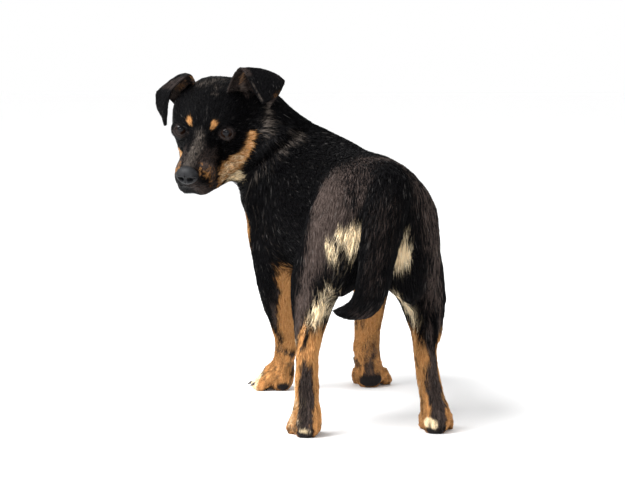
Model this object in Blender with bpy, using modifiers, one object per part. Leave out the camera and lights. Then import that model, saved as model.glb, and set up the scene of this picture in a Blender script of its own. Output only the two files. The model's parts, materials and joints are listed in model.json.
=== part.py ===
"""A small black-and-tan dog, life size, standing square and looking back over its left shoulder.

The dog faces -Y, its left side is +X and the floor is Z = 0, all in metres. The flesh is modelled
whole: every bone and muscle is a tapered capsule or an ellipsoid, and a soft blend of their
distances gives one outline, out to the tips of the coat. Thin cuts then part it into the pieces
that a person would name. Ears, eyes, nose and claws are solids of their own.
"""

import math

import bmesh
import bpy
import numpy as np
from mathutils import Matrix, Vector
from mathutils.bvhtree import BVHTree

# ---------------------------------------------------------------- driving sizes
WITHERS = 0.312  # height of the back over the shoulders
CHEST_HALF = 0.068
RUMP_HALF = 0.057
SPINE_AT_CHEST = 0.004  # the back bends: the rump swings to the dog's right
SPINE_AT_RUMP = -0.017
GAP = 0.0003  # between pieces that meet
CUT = 0.0004  # thickness of the cuts that part the flesh
VOXEL = 0.0024
FAR = 0.045  # beyond this distance a shape no longer bears on the outline
FLESH_TRIANGLES = 3650
FINE_FACTOR = 0.02  # how strongly the triangles are kept for the face and the paws
EYE_RADIUS = 0.0106
EYE_HALF_SPACING = 0.0278
EYE_DEPTH = 0.0050
EYE_DROP = 0.0028
EAR_THICKNESS = 0.0030

# The head's own frame: its origin lies between the eyes, -Y runs along the muzzle's bridge.
HEAD_PLACE = Vector((0.1458, -0.1010, 0.3133))
HEAD_TURN = math.radians(154.8)
HEAD_NOD = math.radians(25.0)
HEAD_TILT = math.radians(4.0)
HEAD = (
    Matrix.Translation(HEAD_PLACE)
    @ Matrix.Rotation(HEAD_TURN, 4, "Z")
    @ Matrix.Rotation(HEAD_NOD, 4, "X")
    @ Matrix.Rotation(HEAD_TILT, 4, "Y")
)

LEFT, RIGHT = 1, -1
SIDES = {"left": LEFT, "right": RIGHT}

# Where the joints of each leg stand, by side.
HIND_JOINTS = {
    "left": {
        "hip": (0.030, 0.118, 0.228),
        "knee": (0.046, 0.056, 0.140),
        "hock": (0.0655, 0.150, 0.082),
        "heel": (0.0655, 0.148, 0.0),
        "seat_height": 0.047,
        "hamstring_inward": -0.001,
        "toe_out": math.radians(4),
        "spread": 0.62,
    },
    "right": {
        "hip": (-0.0470, 0.118, 0.228),
        "knee": (-0.0815, 0.058, 0.1290),
        "hock": (-0.0595, 0.150, 0.082),
        "heel": (-0.0722, 0.148, 0.0),
        "seat_height": 0.058,
        "hamstring_inward": 0.009,
        "toe_out": math.radians(16),
        "spread": 0.72,
    },
}
FORE_JOINTS = {
    "left": {
        "shoulder": (0.059, -0.160, 0.200),
        "elbow": (0.0630, -0.106, 0.150),
        "wrist": (0.0400, -0.150, 0.058),
        "girth": 1.0,
        "heel": (0.0450, -0.158, 0.0),
        "toe_out": math.radians(60),
        "spread": 0.90,
    },
    "right": {
        "shoulder": (-0.044, -0.160, 0.200),
        "elbow": (-0.053, -0.106, 0.150),
        "wrist": (-0.0560, -0.150, 0.058),
        "girth": 1.22,
        "heel": (-0.0620, -0.163, 0.0),
        "toe_out": math.radians(22),
        "spread": 1.06,
    },
}

# The coat's colours, for the plain materials of the solids.
BLACK = (0.018, 0.015, 0.014)
TAN = (0.48, 0.24, 0.09)
LEATHER = (0.012, 0.011, 0.012)
EYE_BROWN = (0.030, 0.014, 0.008)
CLAW_HORN = (0.035, 0.028, 0.024)


def clear_scene():
    for obj in list(bpy.data.objects):
        bpy.data.objects.remove(obj, do_unlink=True)


def collection(name):
    made = bpy.data.collections.new(name)
    bpy.context.scene.collection.children.link(made)
    return made


def material(name, colour, roughness):
    made = bpy.data.materials.new(name)
    made.use_nodes = True
    shader = made.node_tree.nodes["Principled BSDF"]
    shader.inputs["Base Color"].default_value = (*colour, 1)
    shader.inputs["Roughness"].default_value = roughness
    shader.inputs["Metallic"].default_value = 0.0
    return made


# ---------------------------------------------------------------- shapes that blend
class Bone:
    """A capsule whose radius runs evenly from its start to its end."""

    def __init__(self, start, end, start_radius, end_radius, soft):
        self.start, self.end = Vector(start), Vector(end)
        self.radii = start_radius, end_radius
        self.soft = soft

    def moved(self, matrix):
        return Bone(matrix @ self.start, matrix @ self.end, *self.radii, self.soft)

    def ball(self):
        return (self.start + self.end) / 2, (self.end - self.start).length / 2 + max(self.radii)

    def distance(self, points):
        start, axis = np.array(self.start), np.array(self.end - self.start)
        away = points - start
        along = np.clip(away @ axis / (axis @ axis), 0, 1)
        radius = self.radii[0] + (self.radii[1] - self.radii[0]) * along
        return np.linalg.norm(away - along[:, None] * axis, axis=1) - radius

    def add_to(self, mesh):
        """Adds a cone between two balls, as a first guess at the surface."""
        axis = self.end - self.start
        turn = axis.to_track_quat("Z", "Y").to_matrix().to_4x4()
        bmesh.ops.create_cone(
            mesh,
            cap_ends=True,
            segments=24,
            radius1=self.radii[0],
            radius2=self.radii[1],
            depth=axis.length,
            matrix=Matrix.Translation((self.start + self.end) / 2) @ turn,
        )
        for centre, radius in zip((self.start, self.end), self.radii):
            place = Matrix.Translation(centre)
            bmesh.ops.create_icosphere(mesh, subdivisions=3, radius=radius, matrix=place)


class Mass:
    """A turned ellipsoid."""

    def __init__(self, centre, radii, soft, turn=None):
        self.centre, self.radii, self.soft = Vector(centre), Vector(radii), soft
        self.turn = turn or Matrix.Identity(3)

    def moved(self, matrix):
        return Mass(matrix @ self.centre, self.radii, self.soft, matrix.to_3x3() @ self.turn)

    def ball(self):
        return self.centre, max(self.radii)

    def distance(self, points):
        local = (points - np.array(self.centre)) @ np.array(self.turn)
        radii = np.array(self.radii)
        share = np.linalg.norm(local / radii, axis=1)
        slope = np.linalg.norm(local / radii**2, axis=1)
        return share * (share - 1) / np.maximum(slope, 1e-6)

    def add_to(self, mesh):
        place = Matrix.Translation(self.centre) @ self.turn.to_4x4() @ Matrix.Diagonal((*self.radii, 1))
        bmesh.ops.create_icosphere(mesh, subdivisions=4, radius=1, matrix=place)


def blended(first, second, soft):
    """The union of two distances, filleted over about `soft` metres."""
    share = np.clip(0.5 + 0.5 * (second - first) / soft, 0, 1)
    return second * (1 - share) + first * share - soft * share * (1 - share)


def near_distance(shape, points):
    """The distance to a shape, worked out only where it is close enough to matter."""
    distances = np.full(len(points), FAR)
    centre, reach = shape.ball()
    close = np.linalg.norm(points - np.array(centre), axis=1) < reach + FAR
    distances[close] = np.minimum(shape.distance(points[close]), FAR)
    return distances


def body_distance(points, groups):
    """Each group blends its own shapes first, then joins the body with its own fillet."""
    body = None
    for soft, shapes in groups:
        own = None
        for shape in shapes:
            distance = near_distance(shape, points)
            own = distance if own is None else blended(own, distance, shape.soft)
        body = own if body is None else blended(body, own, soft)
    return body


def tilted(axis, degrees):
    return Matrix.Rotation(math.radians(degrees), 3, axis)


# ---------------------------------------------------------------- the dog's flesh
def trunk_shapes():
    chest, rump = SPINE_AT_CHEST, SPINE_AT_RUMP
    return [
        Mass((chest, -0.062, 0.220), (CHEST_HALF, 0.115, 0.078), 0.02),
        Mass((chest + 0.006, -0.144, 0.213), (0.050, 0.042, 0.063), 0.02),
        Mass((chest - 0.002, -0.080, WITHERS - 0.054), (0.040, 0.085, 0.051), 0.02, tilted("X", -4)),
        Mass((chest + 0.056, -0.128, 0.232), (0.036, 0.032, 0.032), 0.02),
        Mass((-0.008, 0.020, 0.238), (0.051, 0.105, 0.0605), 0.02),
        Mass((-0.007, 0.015, 0.204), (0.048, 0.095, 0.056), 0.02),
        Mass((rump, 0.102, 0.237), (RUMP_HALF, 0.068, 0.0580), 0.02),
        Mass((rump, 0.136, 0.216), (0.051, 0.038, 0.054), 0.02),
    ]


def neck_shapes():
    base, nape = (0.012, -0.112, 0.242), (0.090, -0.155, 0.3275)
    throat, breast = (0.098, -0.154, 0.300), (0.038, -0.156, 0.218)
    return [
        Bone(base, nape, 0.061, 0.0420, 0.02),
        Bone(throat, breast, 0.022, 0.034, 0.02),
        Bone(nape, in_head(0, 0.052, -0.003), 0.0410, 0.034, 0.02),
    ]


def head_shapes():
    """In the head's own frame, then placed on the neck."""
    shapes = [
        Mass((0, 0.045, 0.004), (0.0395, 0.045, 0.036), 0.012),
        Mass((0, 0.020, 0.008), (0.0325, 0.027, 0.023), 0.012),
        Bone((0, 0.004, -0.022), (0, -0.050, -0.0300), 0.0235, 0.0160, 0.012),
        Bone((0, -0.008, -0.004), (0, -0.057, -0.0210), 0.0100, 0.0088, 0.008),
    ]
    for side in SIDES.values():
        shapes += [
            Mass((side * 0.0205, 0.005, 0.0105), (0.0120, 0.0100, 0.0075), 0.008),
            Mass((side * 0.0260, 0.031, 0.010), (0.0155, 0.0240, 0.0190), 0.012),
            Mass((side * 0.0270, 0.032, -0.012), (0.0170, 0.0290, 0.0180), 0.012),
            Mass((side * 0.0220, 0.036, -0.034), (0.0200, 0.0290, 0.0240), 0.012),
            Bone((side * 0.021, 0.018, -0.0540), (side * 0.0085, -0.042, -0.0480), 0.0160, 0.0118, 0.008),
            Mass((side * 0.0112, -0.038, -0.0340), (0.0110, 0.0240, 0.0145), 0.006),
        ]
    return [shape.moved(HEAD) for shape in shapes]


def tail_points():
    """The tail hangs down behind and curls at its tip: places, and the radius at each."""
    return [
        ((SPINE_AT_RUMP, 0.160, 0.268), 0.0240),
        ((-0.011, 0.186, 0.243), 0.0235),
        ((-0.002, 0.199, 0.212), 0.0212),
        ((0.003, 0.200, 0.182), 0.0185),
        ((0.006, 0.197, 0.1570), 0.0158),
        ((0.011, 0.191, 0.1425), 0.0130),
        ((0.023, 0.182, 0.1342), 0.0090),
        ((0.0405, 0.174, 0.1352), 0.0062),
    ]


def tail_shapes():
    points = tail_points()
    return [Bone(a, b, ra, rb, 0.006) for (a, ra), (b, rb) in zip(points, points[1:])]


def paw_frame(joints):
    """Origin under the heel pad on the floor, +Y along the toes."""
    out = joints["toe_out"] * math.copysign(1, joints["heel"][0])
    return Matrix.Translation(joints["heel"]) @ Matrix.Rotation(math.pi + out, 4, "Z")


TOE_RADIUS = 0.0070
TOE_TIPS = ((-0.0170, 0.0225), (-0.0064, 0.0300), (0.0064, 0.0300), (0.0170, 0.0225))


def toe_tips(joints):
    """Where the four toes end in the paw's frame: across and ahead."""
    return [(across * joints["spread"], ahead) for across, ahead in TOE_TIPS]


def paw_shapes(joints, upper):
    """A heel pad, four arched toes and the stretch up to `upper`, the wrist or the hock."""
    place = paw_frame(joints)
    toes = []
    for across, ahead in toe_tips(joints):
        knuckle = (across * 0.86, ahead - 0.0125, 0.0160)
        tip = (across, ahead, TOE_RADIUS - 0.0012)
        toes.append(Bone(knuckle, tip, TOE_RADIUS + 0.0004, TOE_RADIUS, 0.003))
    pads = [
        Mass((0, 0.001, 0.0095), (0.0150, 0.0130, 0.0110), 0.006),
        Bone((0, 0.000, 0.022), (0, 0.013, 0.0180), 0.0130, 0.0120, 0.008),
    ]
    girth = joints.get("girth", 1.0)
    leg = Bone(upper, place @ Vector((0, 0.001, 0.020)), 0.0127 * girth, 0.0125 * girth, 0.010)
    return [shape.moved(place) for shape in pads] + [leg] + [toe.moved(place) for toe in toes]


def hind_leg_shapes(joints):
    hip, knee, hock = (Vector(joints[name]) for name in ("hip", "knee", "hock"))
    calf = knee.lerp(hock, 0.35) + Vector((0, 0.012, 0.010))
    heel_bone = hock + Vector((0, 0.010, 0.000))
    inward = -joints["hamstring_inward"] * math.copysign(1, knee.x)
    behind_knee = knee.lerp(hock, 0.20) + Vector((inward, 0.034, 0.014))
    buttock = Vector((hip.x * 0.9, 0.138, 0.190))
    return [
        Mass(hip.lerp(knee, 0.48), (0.025, 0.048, 0.072), 0.015, tilted("X", -33)),
        Mass(buttock, (0.026, 0.034, joints["seat_height"]), 0.015, tilted("X", 12)),
        Bone(hip.lerp(knee, 0.75), knee, 0.029, 0.022, 0.015),
        Bone(knee, hock, 0.021, 0.0105, 0.012),
        Mass(calf, (0.017, 0.025, 0.038), 0.012, tilted("X", 40)),
        Bone(buttock, behind_knee, 0.020, 0.0155, 0.015),
        Bone(behind_knee, heel_bone, 0.0138, 0.0072, 0.010),
    ]


def fore_leg_shapes(joints):
    shoulder, elbow, wrist = (Vector(joints[name]) for name in ("shoulder", "elbow", "wrist"))
    outward = math.copysign(1, elbow.x)
    blade = Vector((shoulder.x * 0.80, -0.122, 0.218))
    bulge = elbow.lerp(wrist, 0.28) + Vector((outward * 0.003, -0.002, 0))
    return [
        Mass(blade, (0.026, 0.042, 0.068), 0.015, tilted("X", -14)),
        Bone(shoulder, elbow, 0.028, 0.0215, 0.015),
        Mass(elbow + Vector((0, 0.012, 0.024)), (0.019, 0.024, 0.034), 0.015, tilted("X", -10)),
        Bone(elbow, wrist, 0.0200, 0.0130 * joints["girth"], 0.010),
        Mass(bulge, (0.0185 * joints["girth"], 0.020, 0.031), 0.010),
    ]


def flesh_groups():
    groups = [(0.02, trunk_shapes())]
    for joints in FORE_JOINTS.values():
        groups.append((0.018, fore_leg_shapes(joints)))
    for joints in HIND_JOINTS.values():
        groups.append((0.016, hind_leg_shapes(joints)))
    groups.append((0.026, neck_shapes()))
    groups.append((0.018, head_shapes()))
    groups.append((0.010, tail_shapes()))
    for joints in FORE_JOINTS.values():
        groups.append((0.006, paw_shapes(joints, joints["wrist"])))
    for joints in HIND_JOINTS.values():
        groups.append((0.006, paw_shapes(joints, joints["hock"])))
    return groups


def object_from(bm, name, home):
    mesh = bpy.data.meshes.new(name)
    bm.to_mesh(mesh)
    bm.free()
    made = bpy.data.objects.new(name, mesh)
    home.objects.link(made)
    return made


def baked(obj):
    """Replaces the object's mesh by what its modifiers make of it."""
    graph = bpy.context.evaluated_depsgraph_get()
    graph.update()
    mesh = bpy.data.meshes.new_from_object(obj.evaluated_get(graph))
    obj.modifiers.clear()
    obj.data = mesh
    return obj


def remeshed(obj, voxel):
    remesh = obj.modifiers.new("whole", "REMESH")
    remesh.mode = "VOXEL"
    remesh.voxel_size = voxel
    return baked(obj)


def get_points(obj):
    points = np.empty(len(obj.data.vertices) * 3, np.float32)
    obj.data.vertices.foreach_get("co", points)
    return points.reshape(-1, 3).astype(float)


def set_points(obj, points):
    obj.data.vertices.foreach_set("co", points.astype(np.float32).ravel())
    obj.data.update()


def settle(obj, distance, rounds):
    """Moves each point along the field's slope until it lies on the blended surface."""
    step, reach = 0.0004, 0.004
    points = get_points(obj)
    for _ in range(rounds):
        here = distance(points)
        slope = np.stack([(distance(points + step * unit) - here) / step for unit in np.eye(3)], axis=1)
        length = np.maximum(np.linalg.norm(slope, axis=1), 0.3)
        points -= slope / length[:, None] * np.clip(here / length, -reach, reach)[:, None]
    set_points(obj, points)


def whole_flesh(home):
    groups = flesh_groups()
    guess = bmesh.new()
    for _, shapes in groups:
        for shape in shapes:
            shape.add_to(guess)
    flesh = remeshed(object_from(guess, "flesh", home), VOXEL)

    def distance(points):
        return body_distance(points, groups)

    for _ in range(2):
        settle(flesh, distance, 3)
        remeshed(flesh, VOXEL)
    settle(flesh, distance, 2)
    return flesh


def flatten_soles(obj):
    """The pads press flat on the floor."""
    points = get_points(obj)
    points[:, 2] = np.where(points[:, 2] < 0.0004, 0.0, points[:, 2])
    set_points(obj, points)


def thinned(obj, triangles):
    """Fewer triangles, kept finest on the face and the paws."""
    points = get_points(obj)
    head = np.array(HEAD.inverted())
    in_head = points @ head[:3, :3].T + head[:3, 3]
    face = np.clip(1.2 - np.maximum(in_head[:, 1] - 0.02, 0) / 0.05, 0, 1)
    face *= np.linalg.norm(in_head, axis=1) < 0.105
    paw = np.clip((0.050 - points[:, 2]) / 0.015, 0, 1) * 0.75
    coarse = np.round(1 - 0.85 * np.maximum(face, paw), 1)
    group = obj.vertex_groups.new(name="coarse")
    for level in np.unique(coarse):
        chosen = np.flatnonzero(coarse == level)
        group.add([int(index) for index in chosen], float(level), "REPLACE")
    decimate = obj.modifiers.new("thin", "DECIMATE")
    decimate.ratio = triangles / (2 * len(obj.data.polygons))
    decimate.vertex_group = "coarse"
    decimate.vertex_group_factor = FINE_FACTOR
    baked(obj)
    obj.vertex_groups.clear()
    return obj


# ---------------------------------------------------------------- cuts
def in_head(x, y, z):
    return HEAD @ Vector((x, y, z))


def head_direction(x, y, z):
    return HEAD.to_3x3() @ Vector((x, y, z))


def cut_plates():
    """Where the flesh is parted: a centre, the way the cut faces, and its half width and height."""
    plates = [
        (in_head(0.048, 0.064, -0.033), head_direction(0.85, 0.15, -0.52), 0.062, 0.068),
        (Vector((0.060, -0.130, 0.276)), Vector((0.73, -0.29, 0.61)), 0.082, 0.082),
        (Vector((0.000, -0.045, 0.225)), Vector((-0.05, 1, 0)), 0.090, 0.100),
        (Vector((-0.008, 0.028, 0.225)), Vector((0, 1, 0)), 0.090, 0.095),
    ]
    tail = [Vector(place) for place, _ in tail_points()]
    plates += [
        (Vector((-0.008, 0.1775, 0.234)), Vector((0, 1, 0)), 0.034, 0.057),
        (tail[3], tail[4] - tail[2], 0.026, 0.024),
        (tail[5], tail[6] - tail[4], 0.0175, 0.0175),
    ]
    for side, sign in SIDES.items():
        joints = HIND_JOINTS[side]
        hip, knee, hock = (Vector(joints[name]) for name in ("hip", "knee", "hock"))
        foot = Vector(joints["heel"])
        groin = Vector((hip.x + sign * 0.010, 0.10075, 0.208))
        plates += [
            (groin, Vector((sign * 0.80, 0, -0.60)), 0.07375, 0.086),
            (knee.lerp(hock, 0.40) + Vector((0, 0.010, 0)), Vector((0, 0.20, -0.98)), 0.034, 0.060),
            (hock + Vector((0, 0.004, -0.006)), Vector((0, 0.10, -1)), 0.028, 0.028),
            (foot + Vector((0, -0.004, 0.030)), Vector((0, -0.2, -1)), 0.030, 0.030),
        ]
    for side, sign in SIDES.items():
        joints = FORE_JOINTS[side]
        elbow, wrist = Vector(joints["elbow"]), Vector(joints["wrist"])
        armpit = Vector((sign * 0.057 + 0.003, -0.125, 0.172))
        plates += [
            (armpit + Vector((sign * 0.002, 0, 0)), Vector((sign * 0.75, 0, -0.66)), 0.075, 0.052),
            (elbow.lerp(wrist, 0.18), Vector((0, 0, -1)), 0.034, 0.036),
            (wrist + Vector((0, 0, -0.004)), Vector((0, 0, -1)), 0.024, 0.024),
        ]
    return plates


def plate_cutter(index, centre, way, half_wide, half_high, home):
    """A thin box that faces `way`, its width level wherever it can be."""
    normal = way.normalized()
    upright = Vector((0, 1, 0)) if abs(normal.z) > 0.95 else Vector((0, 0, 1))
    across = upright.cross(normal).normalized()
    turn = Matrix((across, normal.cross(across), normal)).transposed().to_4x4()
    sizes = Matrix.Diagonal((2 * half_wide, 2 * half_high, CUT, 1))
    bm = bmesh.new()
    bmesh.ops.create_cube(bm, size=1, matrix=Matrix.Translation(centre) @ turn @ sizes)
    cutter = object_from(bm, f"cut_{index:02d}", home)
    cutter.hide_render = True
    cutter.display_type = "WIRE"
    return cutter


def subtract(obj, cutters):
    for cutter in cutters:
        cut = obj.modifiers.new("cut", "BOOLEAN")
        cut.operation = "DIFFERENCE"
        cut.solver = "EXACT"
        cut.object = cutter
    baked(obj)


def loose_parts(obj, home):
    """One object for each connected piece, without crumbs."""
    bm = bmesh.new()
    bm.from_mesh(obj.data)
    todo, parts = set(bm.verts), []
    while todo:
        seed = todo.pop()
        island, edge = {seed}, [seed]
        while edge:
            vertex = edge.pop()
            for link in vertex.link_edges:
                other = link.other_vert(vertex)
                if other not in island:
                    island.add(other)
                    edge.append(other)
        todo -= island
        parts.append(island)
    made = []
    for number, island in enumerate(parts):
        if len(island) < 12:
            continue
        piece = bm.copy()
        piece.verts.ensure_lookup_table()
        keep = {vertex.index for vertex in island}
        bmesh.ops.delete(piece, geom=[v for v in piece.verts if v.index not in keep], context="VERTS")
        made.append(object_from(piece, f"piece_{number:02d}", home))
    bm.free()
    bpy.data.objects.remove(obj)
    return made


def holds(obj, point):
    """Whether the closed mesh has the point inside it, by counting walls along a ray."""
    tree = BVHTree.FromPolygons(
        [v.co for v in obj.data.vertices], [tuple(p.vertices) for p in obj.data.polygons]
    )
    way, start, walls = Vector((0.0123, 0.0457, 1)).normalized(), Vector(point), 0
    while True:
        hit, _, _, _ = tree.ray_cast(start, way)
        if hit is None:
            return walls % 2 == 1
        walls += 1
        start = hit + way * 1e-6


def piece_names():
    """A point inside each piece of flesh, by the piece's name."""
    tail = [Vector(place) for place, _ in tail_points()]
    inside = {
        "head": in_head(0, 0.03, 0.0),
        "neck": Vector((0.056, -0.138, 0.286)),
        "chest": Vector((0.004, -0.060, 0.225)),
        "belly": Vector((-0.004, 0.006, 0.225)),
        "rump": Vector((-0.015, 0.100, 0.262)),
        "tail_root": tail[2],
        "tail_middle": tail[4],
        "tail_tip": tail[6],
    }
    for side, joints in HIND_JOINTS.items():
        hip, knee, hock = (Vector(joints[name]) for name in ("hip", "knee", "hock"))
        heel = Vector(joints["heel"])
        inside[f"thigh_{side}"] = hip.lerp(knee, 0.62) + Vector((SIDES[side] * 0.008, 0, 0))
        inside[f"shank_{side}"] = knee.lerp(hock, 0.62)
        inside[f"hock_{side}"] = hock.lerp(heel, 0.38)
        inside[f"hind_paw_{side}"] = heel + Vector((0, -0.006, 0.012))
    for side, joints in FORE_JOINTS.items():
        elbow, wrist, heel = (Vector(joints[name]) for name in ("elbow", "wrist", "heel"))
        inside[f"upper_arm_{side}"] = elbow + Vector((SIDES[side] * 0.004, 0, 0.010))
        inside[f"forearm_{side}"] = elbow.lerp(wrist, 0.5)
        inside[f"fore_paw_{side}"] = heel + Vector((0, 0, 0.012))
    return inside


def name_pieces(pieces):
    named = {}
    for name, point in piece_names().items():
        for piece in pieces:
            if holds(piece, point):
                piece.name = name
                named[name] = piece
                break
        else:
            raise ValueError(f"no piece of flesh holds the point for {name}")
    return named


# ---------------------------------------------------------------- ears, eyes, nose, claws
def swollen(obj, name, home):
    """A copy that is larger by the gap all round, to cut a neighbour back with."""
    copy = bpy.data.objects.new(name, obj.data.copy())
    home.objects.link(copy)
    swell = copy.modifiers.new("swell", "DISPLACE")
    swell.strength = GAP
    swell.mid_level = 0
    baked(copy)
    copy.hide_render = True
    copy.display_type = "WIRE"
    return copy


# Each ear by rungs from its base to its tip, in the head's frame: the front edge, the rear edge
# and how far the leather bulges between them. The leather stands up, then folds over to the front.
EAR_RUNGS = {
    "left": (
        ((0.022, 0.032, 0.034), (0.062, 0.048, 0.004), (0.006, 0.014, 0.008)),
        ((0.026, 0.034, 0.046), (0.074, 0.049, 0.019), (0.004, 0.018, 0.008)),
        ((0.033, 0.035, 0.059), (0.084, 0.048, 0.036), (0.001, 0.012, 0.006)),
        ((0.040, 0.034, 0.066), (0.0915, 0.045, 0.0515), (0.000, 0.003, 0.002)),
        ((0.048, 0.028, 0.060), (0.0885, 0.039, 0.042), (0.000, -0.001, 0.000)),
        ((0.054, 0.023, 0.053), (0.0840, 0.032, 0.036), (0.000, -0.001, 0.000)),
        ((0.060, 0.019, 0.043), (0.080, 0.026, 0.034), (0.000, -0.001, 0.000)),
        ((0.069, 0.015, 0.031), (0.073, 0.018, 0.032), (0.000, 0.000, 0.000)),
    ),
    "right": (
        ((-0.016, 0.041, 0.034), (-0.041, 0.046, -0.005), (-0.006, 0.012, 0.008)),
        ((-0.021, 0.043, 0.044), (-0.050, 0.048, 0.008), (-0.006, 0.015, 0.008)),
        ((-0.023, 0.041, 0.0490), (-0.060, 0.047, 0.0170), (-0.004, 0.010, 0.006)),
        ((-0.025, 0.037, 0.0505), (-0.067, 0.042, 0.0235), (-0.002, 0.003, 0.002)),
        ((-0.032, 0.032, 0.0460), (-0.066, 0.036, 0.0160), (-0.002, -0.001, 0.001)),
        ((-0.042, 0.026, 0.036), (-0.063, 0.029, 0.008), (-0.002, -0.001, 0.000)),
        ((-0.046, 0.020, 0.021), (-0.055, 0.020, 0.004), (-0.001, -0.001, 0.000)),
        ((-0.047, 0.010, -0.0025), (-0.050, 0.011, -0.0035), (0.000, 0.000, 0.000)),
    ),
}
EAR_ACROSS = 6
EAR_BETWEEN = 1


def smooth_between(rows, between):
    """Rows of points with `between` more rows in each gap, on a Catmull-Rom curve."""
    rows = [np.array(row, float) for row in rows]
    ends = [2 * rows[0] - rows[1], *rows, 2 * rows[-1] - rows[-2]]
    result = []
    for before, here, there, after in zip(ends, ends[1:], ends[2:], ends[3:]):
        for step in range(between + 1):
            t = step / (between + 1)
            result.append(
                0.5
                * (
                    2 * here
                    + (there - before) * t
                    + (2 * before - 5 * here + 4 * there - after) * t**2
                    + (3 * here - before - 3 * there + after) * t**3
                )
            )
    return result + [rows[-1]]


def make_ear(side, flesh_cutter, home):
    rungs = smooth_between(EAR_RUNGS[side], EAR_BETWEEN)
    bm = bmesh.new()
    grid = []
    for front, rear, bulge in rungs:
        row = []
        for step in range(EAR_ACROSS):
            share = step / (EAR_ACROSS - 1)
            point = front + (rear - front) * share + bulge * 4 * share * (1 - share)
            row.append(bm.verts.new(HEAD @ Vector(point)))
        grid.append(row)
    for row, above in zip(grid, grid[1:]):
        for a, b, c, d in zip(row, row[1:], above[1:], above):
            bm.faces.new((a, b, c, d) if side == "left" else (d, c, b, a))
    ear = object_from(bm, f"ear_{side}", home)
    thicken = ear.modifiers.new("leather", "SOLIDIFY")
    thicken.thickness = EAR_THICKNESS
    thicken.offset = 0
    baked(ear)
    subtract(ear, [flesh_cutter])
    return ear


def make_eye(side, home):
    bm = bmesh.new()
    place = HEAD @ Matrix.Translation((SIDES[side] * EYE_HALF_SPACING, EYE_DEPTH, -EYE_DROP))
    bmesh.ops.create_icosphere(bm, subdivisions=3, radius=EYE_RADIUS, matrix=place)
    return object_from(bm, f"eye_{side}", home)


def make_nose(flesh_cutter, home):
    """The nose leather, a rounded block that caps the muzzle."""
    bm = bmesh.new()
    place = HEAD @ Matrix.Translation((0, -0.0655, -0.0235)) @ Matrix.Rotation(math.radians(-12), 4, "X")
    bmesh.ops.create_icosphere(
        bm, subdivisions=3, radius=1, matrix=place @ Matrix.Diagonal((0.0128, 0.0080, 0.0098, 1))
    )
    nose = object_from(bm, "nose", home)
    subtract(nose, [flesh_cutter])
    return nose


def make_claw(name, paw, place, home, reach=0.0085):
    """A blunt horn cone that curves down from a toe's tip."""
    bm = bmesh.new()
    rings = ((0.0, 0.0, 0.0021), (0.5, -0.08, 0.0017), (1.0, -0.36, 0.0006))
    for ahead, down, radius in rings:
        bend = Matrix.Rotation(math.radians(90 - 40 * ahead), 4, "X")
        turn = place @ Matrix.Translation((0, ahead * reach, down * reach)) @ bend
        bmesh.ops.create_circle(bm, cap_ends=False, segments=6, radius=radius, matrix=turn)
        if ahead:
            bmesh.ops.bridge_loops(bm, edges=[edge for edge in bm.edges if len(edge.link_faces) < 2])
    bmesh.ops.holes_fill(bm, edges=[edge for edge in bm.edges if edge.is_boundary])
    bmesh.ops.recalc_face_normals(bm, faces=bm.faces)
    claw = object_from(bm, name, home)
    subtract(claw, [paw])
    return claw


def paw_claws(prefix, joints, paw_cutter, home):
    place = paw_frame(joints)
    made = []
    for number, (across, ahead) in enumerate(toe_tips(joints), 1):
        root = Matrix.Translation((across, ahead + TOE_RADIUS * 0.55, TOE_RADIUS + 0.0015))
        made.append(make_claw(f"claw_{prefix}_{number}", paw_cutter, place @ root, home))
    return made


def dew_claw(side, joints, paw_cutter, home):
    """The small fifth claw, on the inner side of the fore leg above the paw."""
    place, wrist = paw_frame(joints), Vector(joints["wrist"])
    height = wrist.lerp(place.translation, 0.38)
    inward = place.to_3x3() @ Vector((SIDES[side], 0.3, 0)) * 0.0132 * joints["girth"]
    turn = place.to_3x3().to_4x4() @ Matrix.Rotation(math.radians(-62), 4, "X")
    root = Matrix.Translation(height + inward) @ turn
    return make_claw(f"dewclaw_{side}", paw_cutter, root, home, reach=0.0075)


def shade(obj):
    obj.data.shade_smooth()
    obj.data.set_sharp_from_angle(angle=math.radians(40))


def centre_on_floor(objects):
    """Puts the origin under the middle of the whole dog's box, on the floor."""
    corners = np.concatenate([get_points(obj) for obj in objects])
    low, high = corners.min(0), corners.max(0)
    shift = -np.array(((low[0] + high[0]) / 2, (low[1] + high[1]) / 2, 0))
    for obj in objects:
        set_points(obj, get_points(obj) + shift)
    return shift


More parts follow.
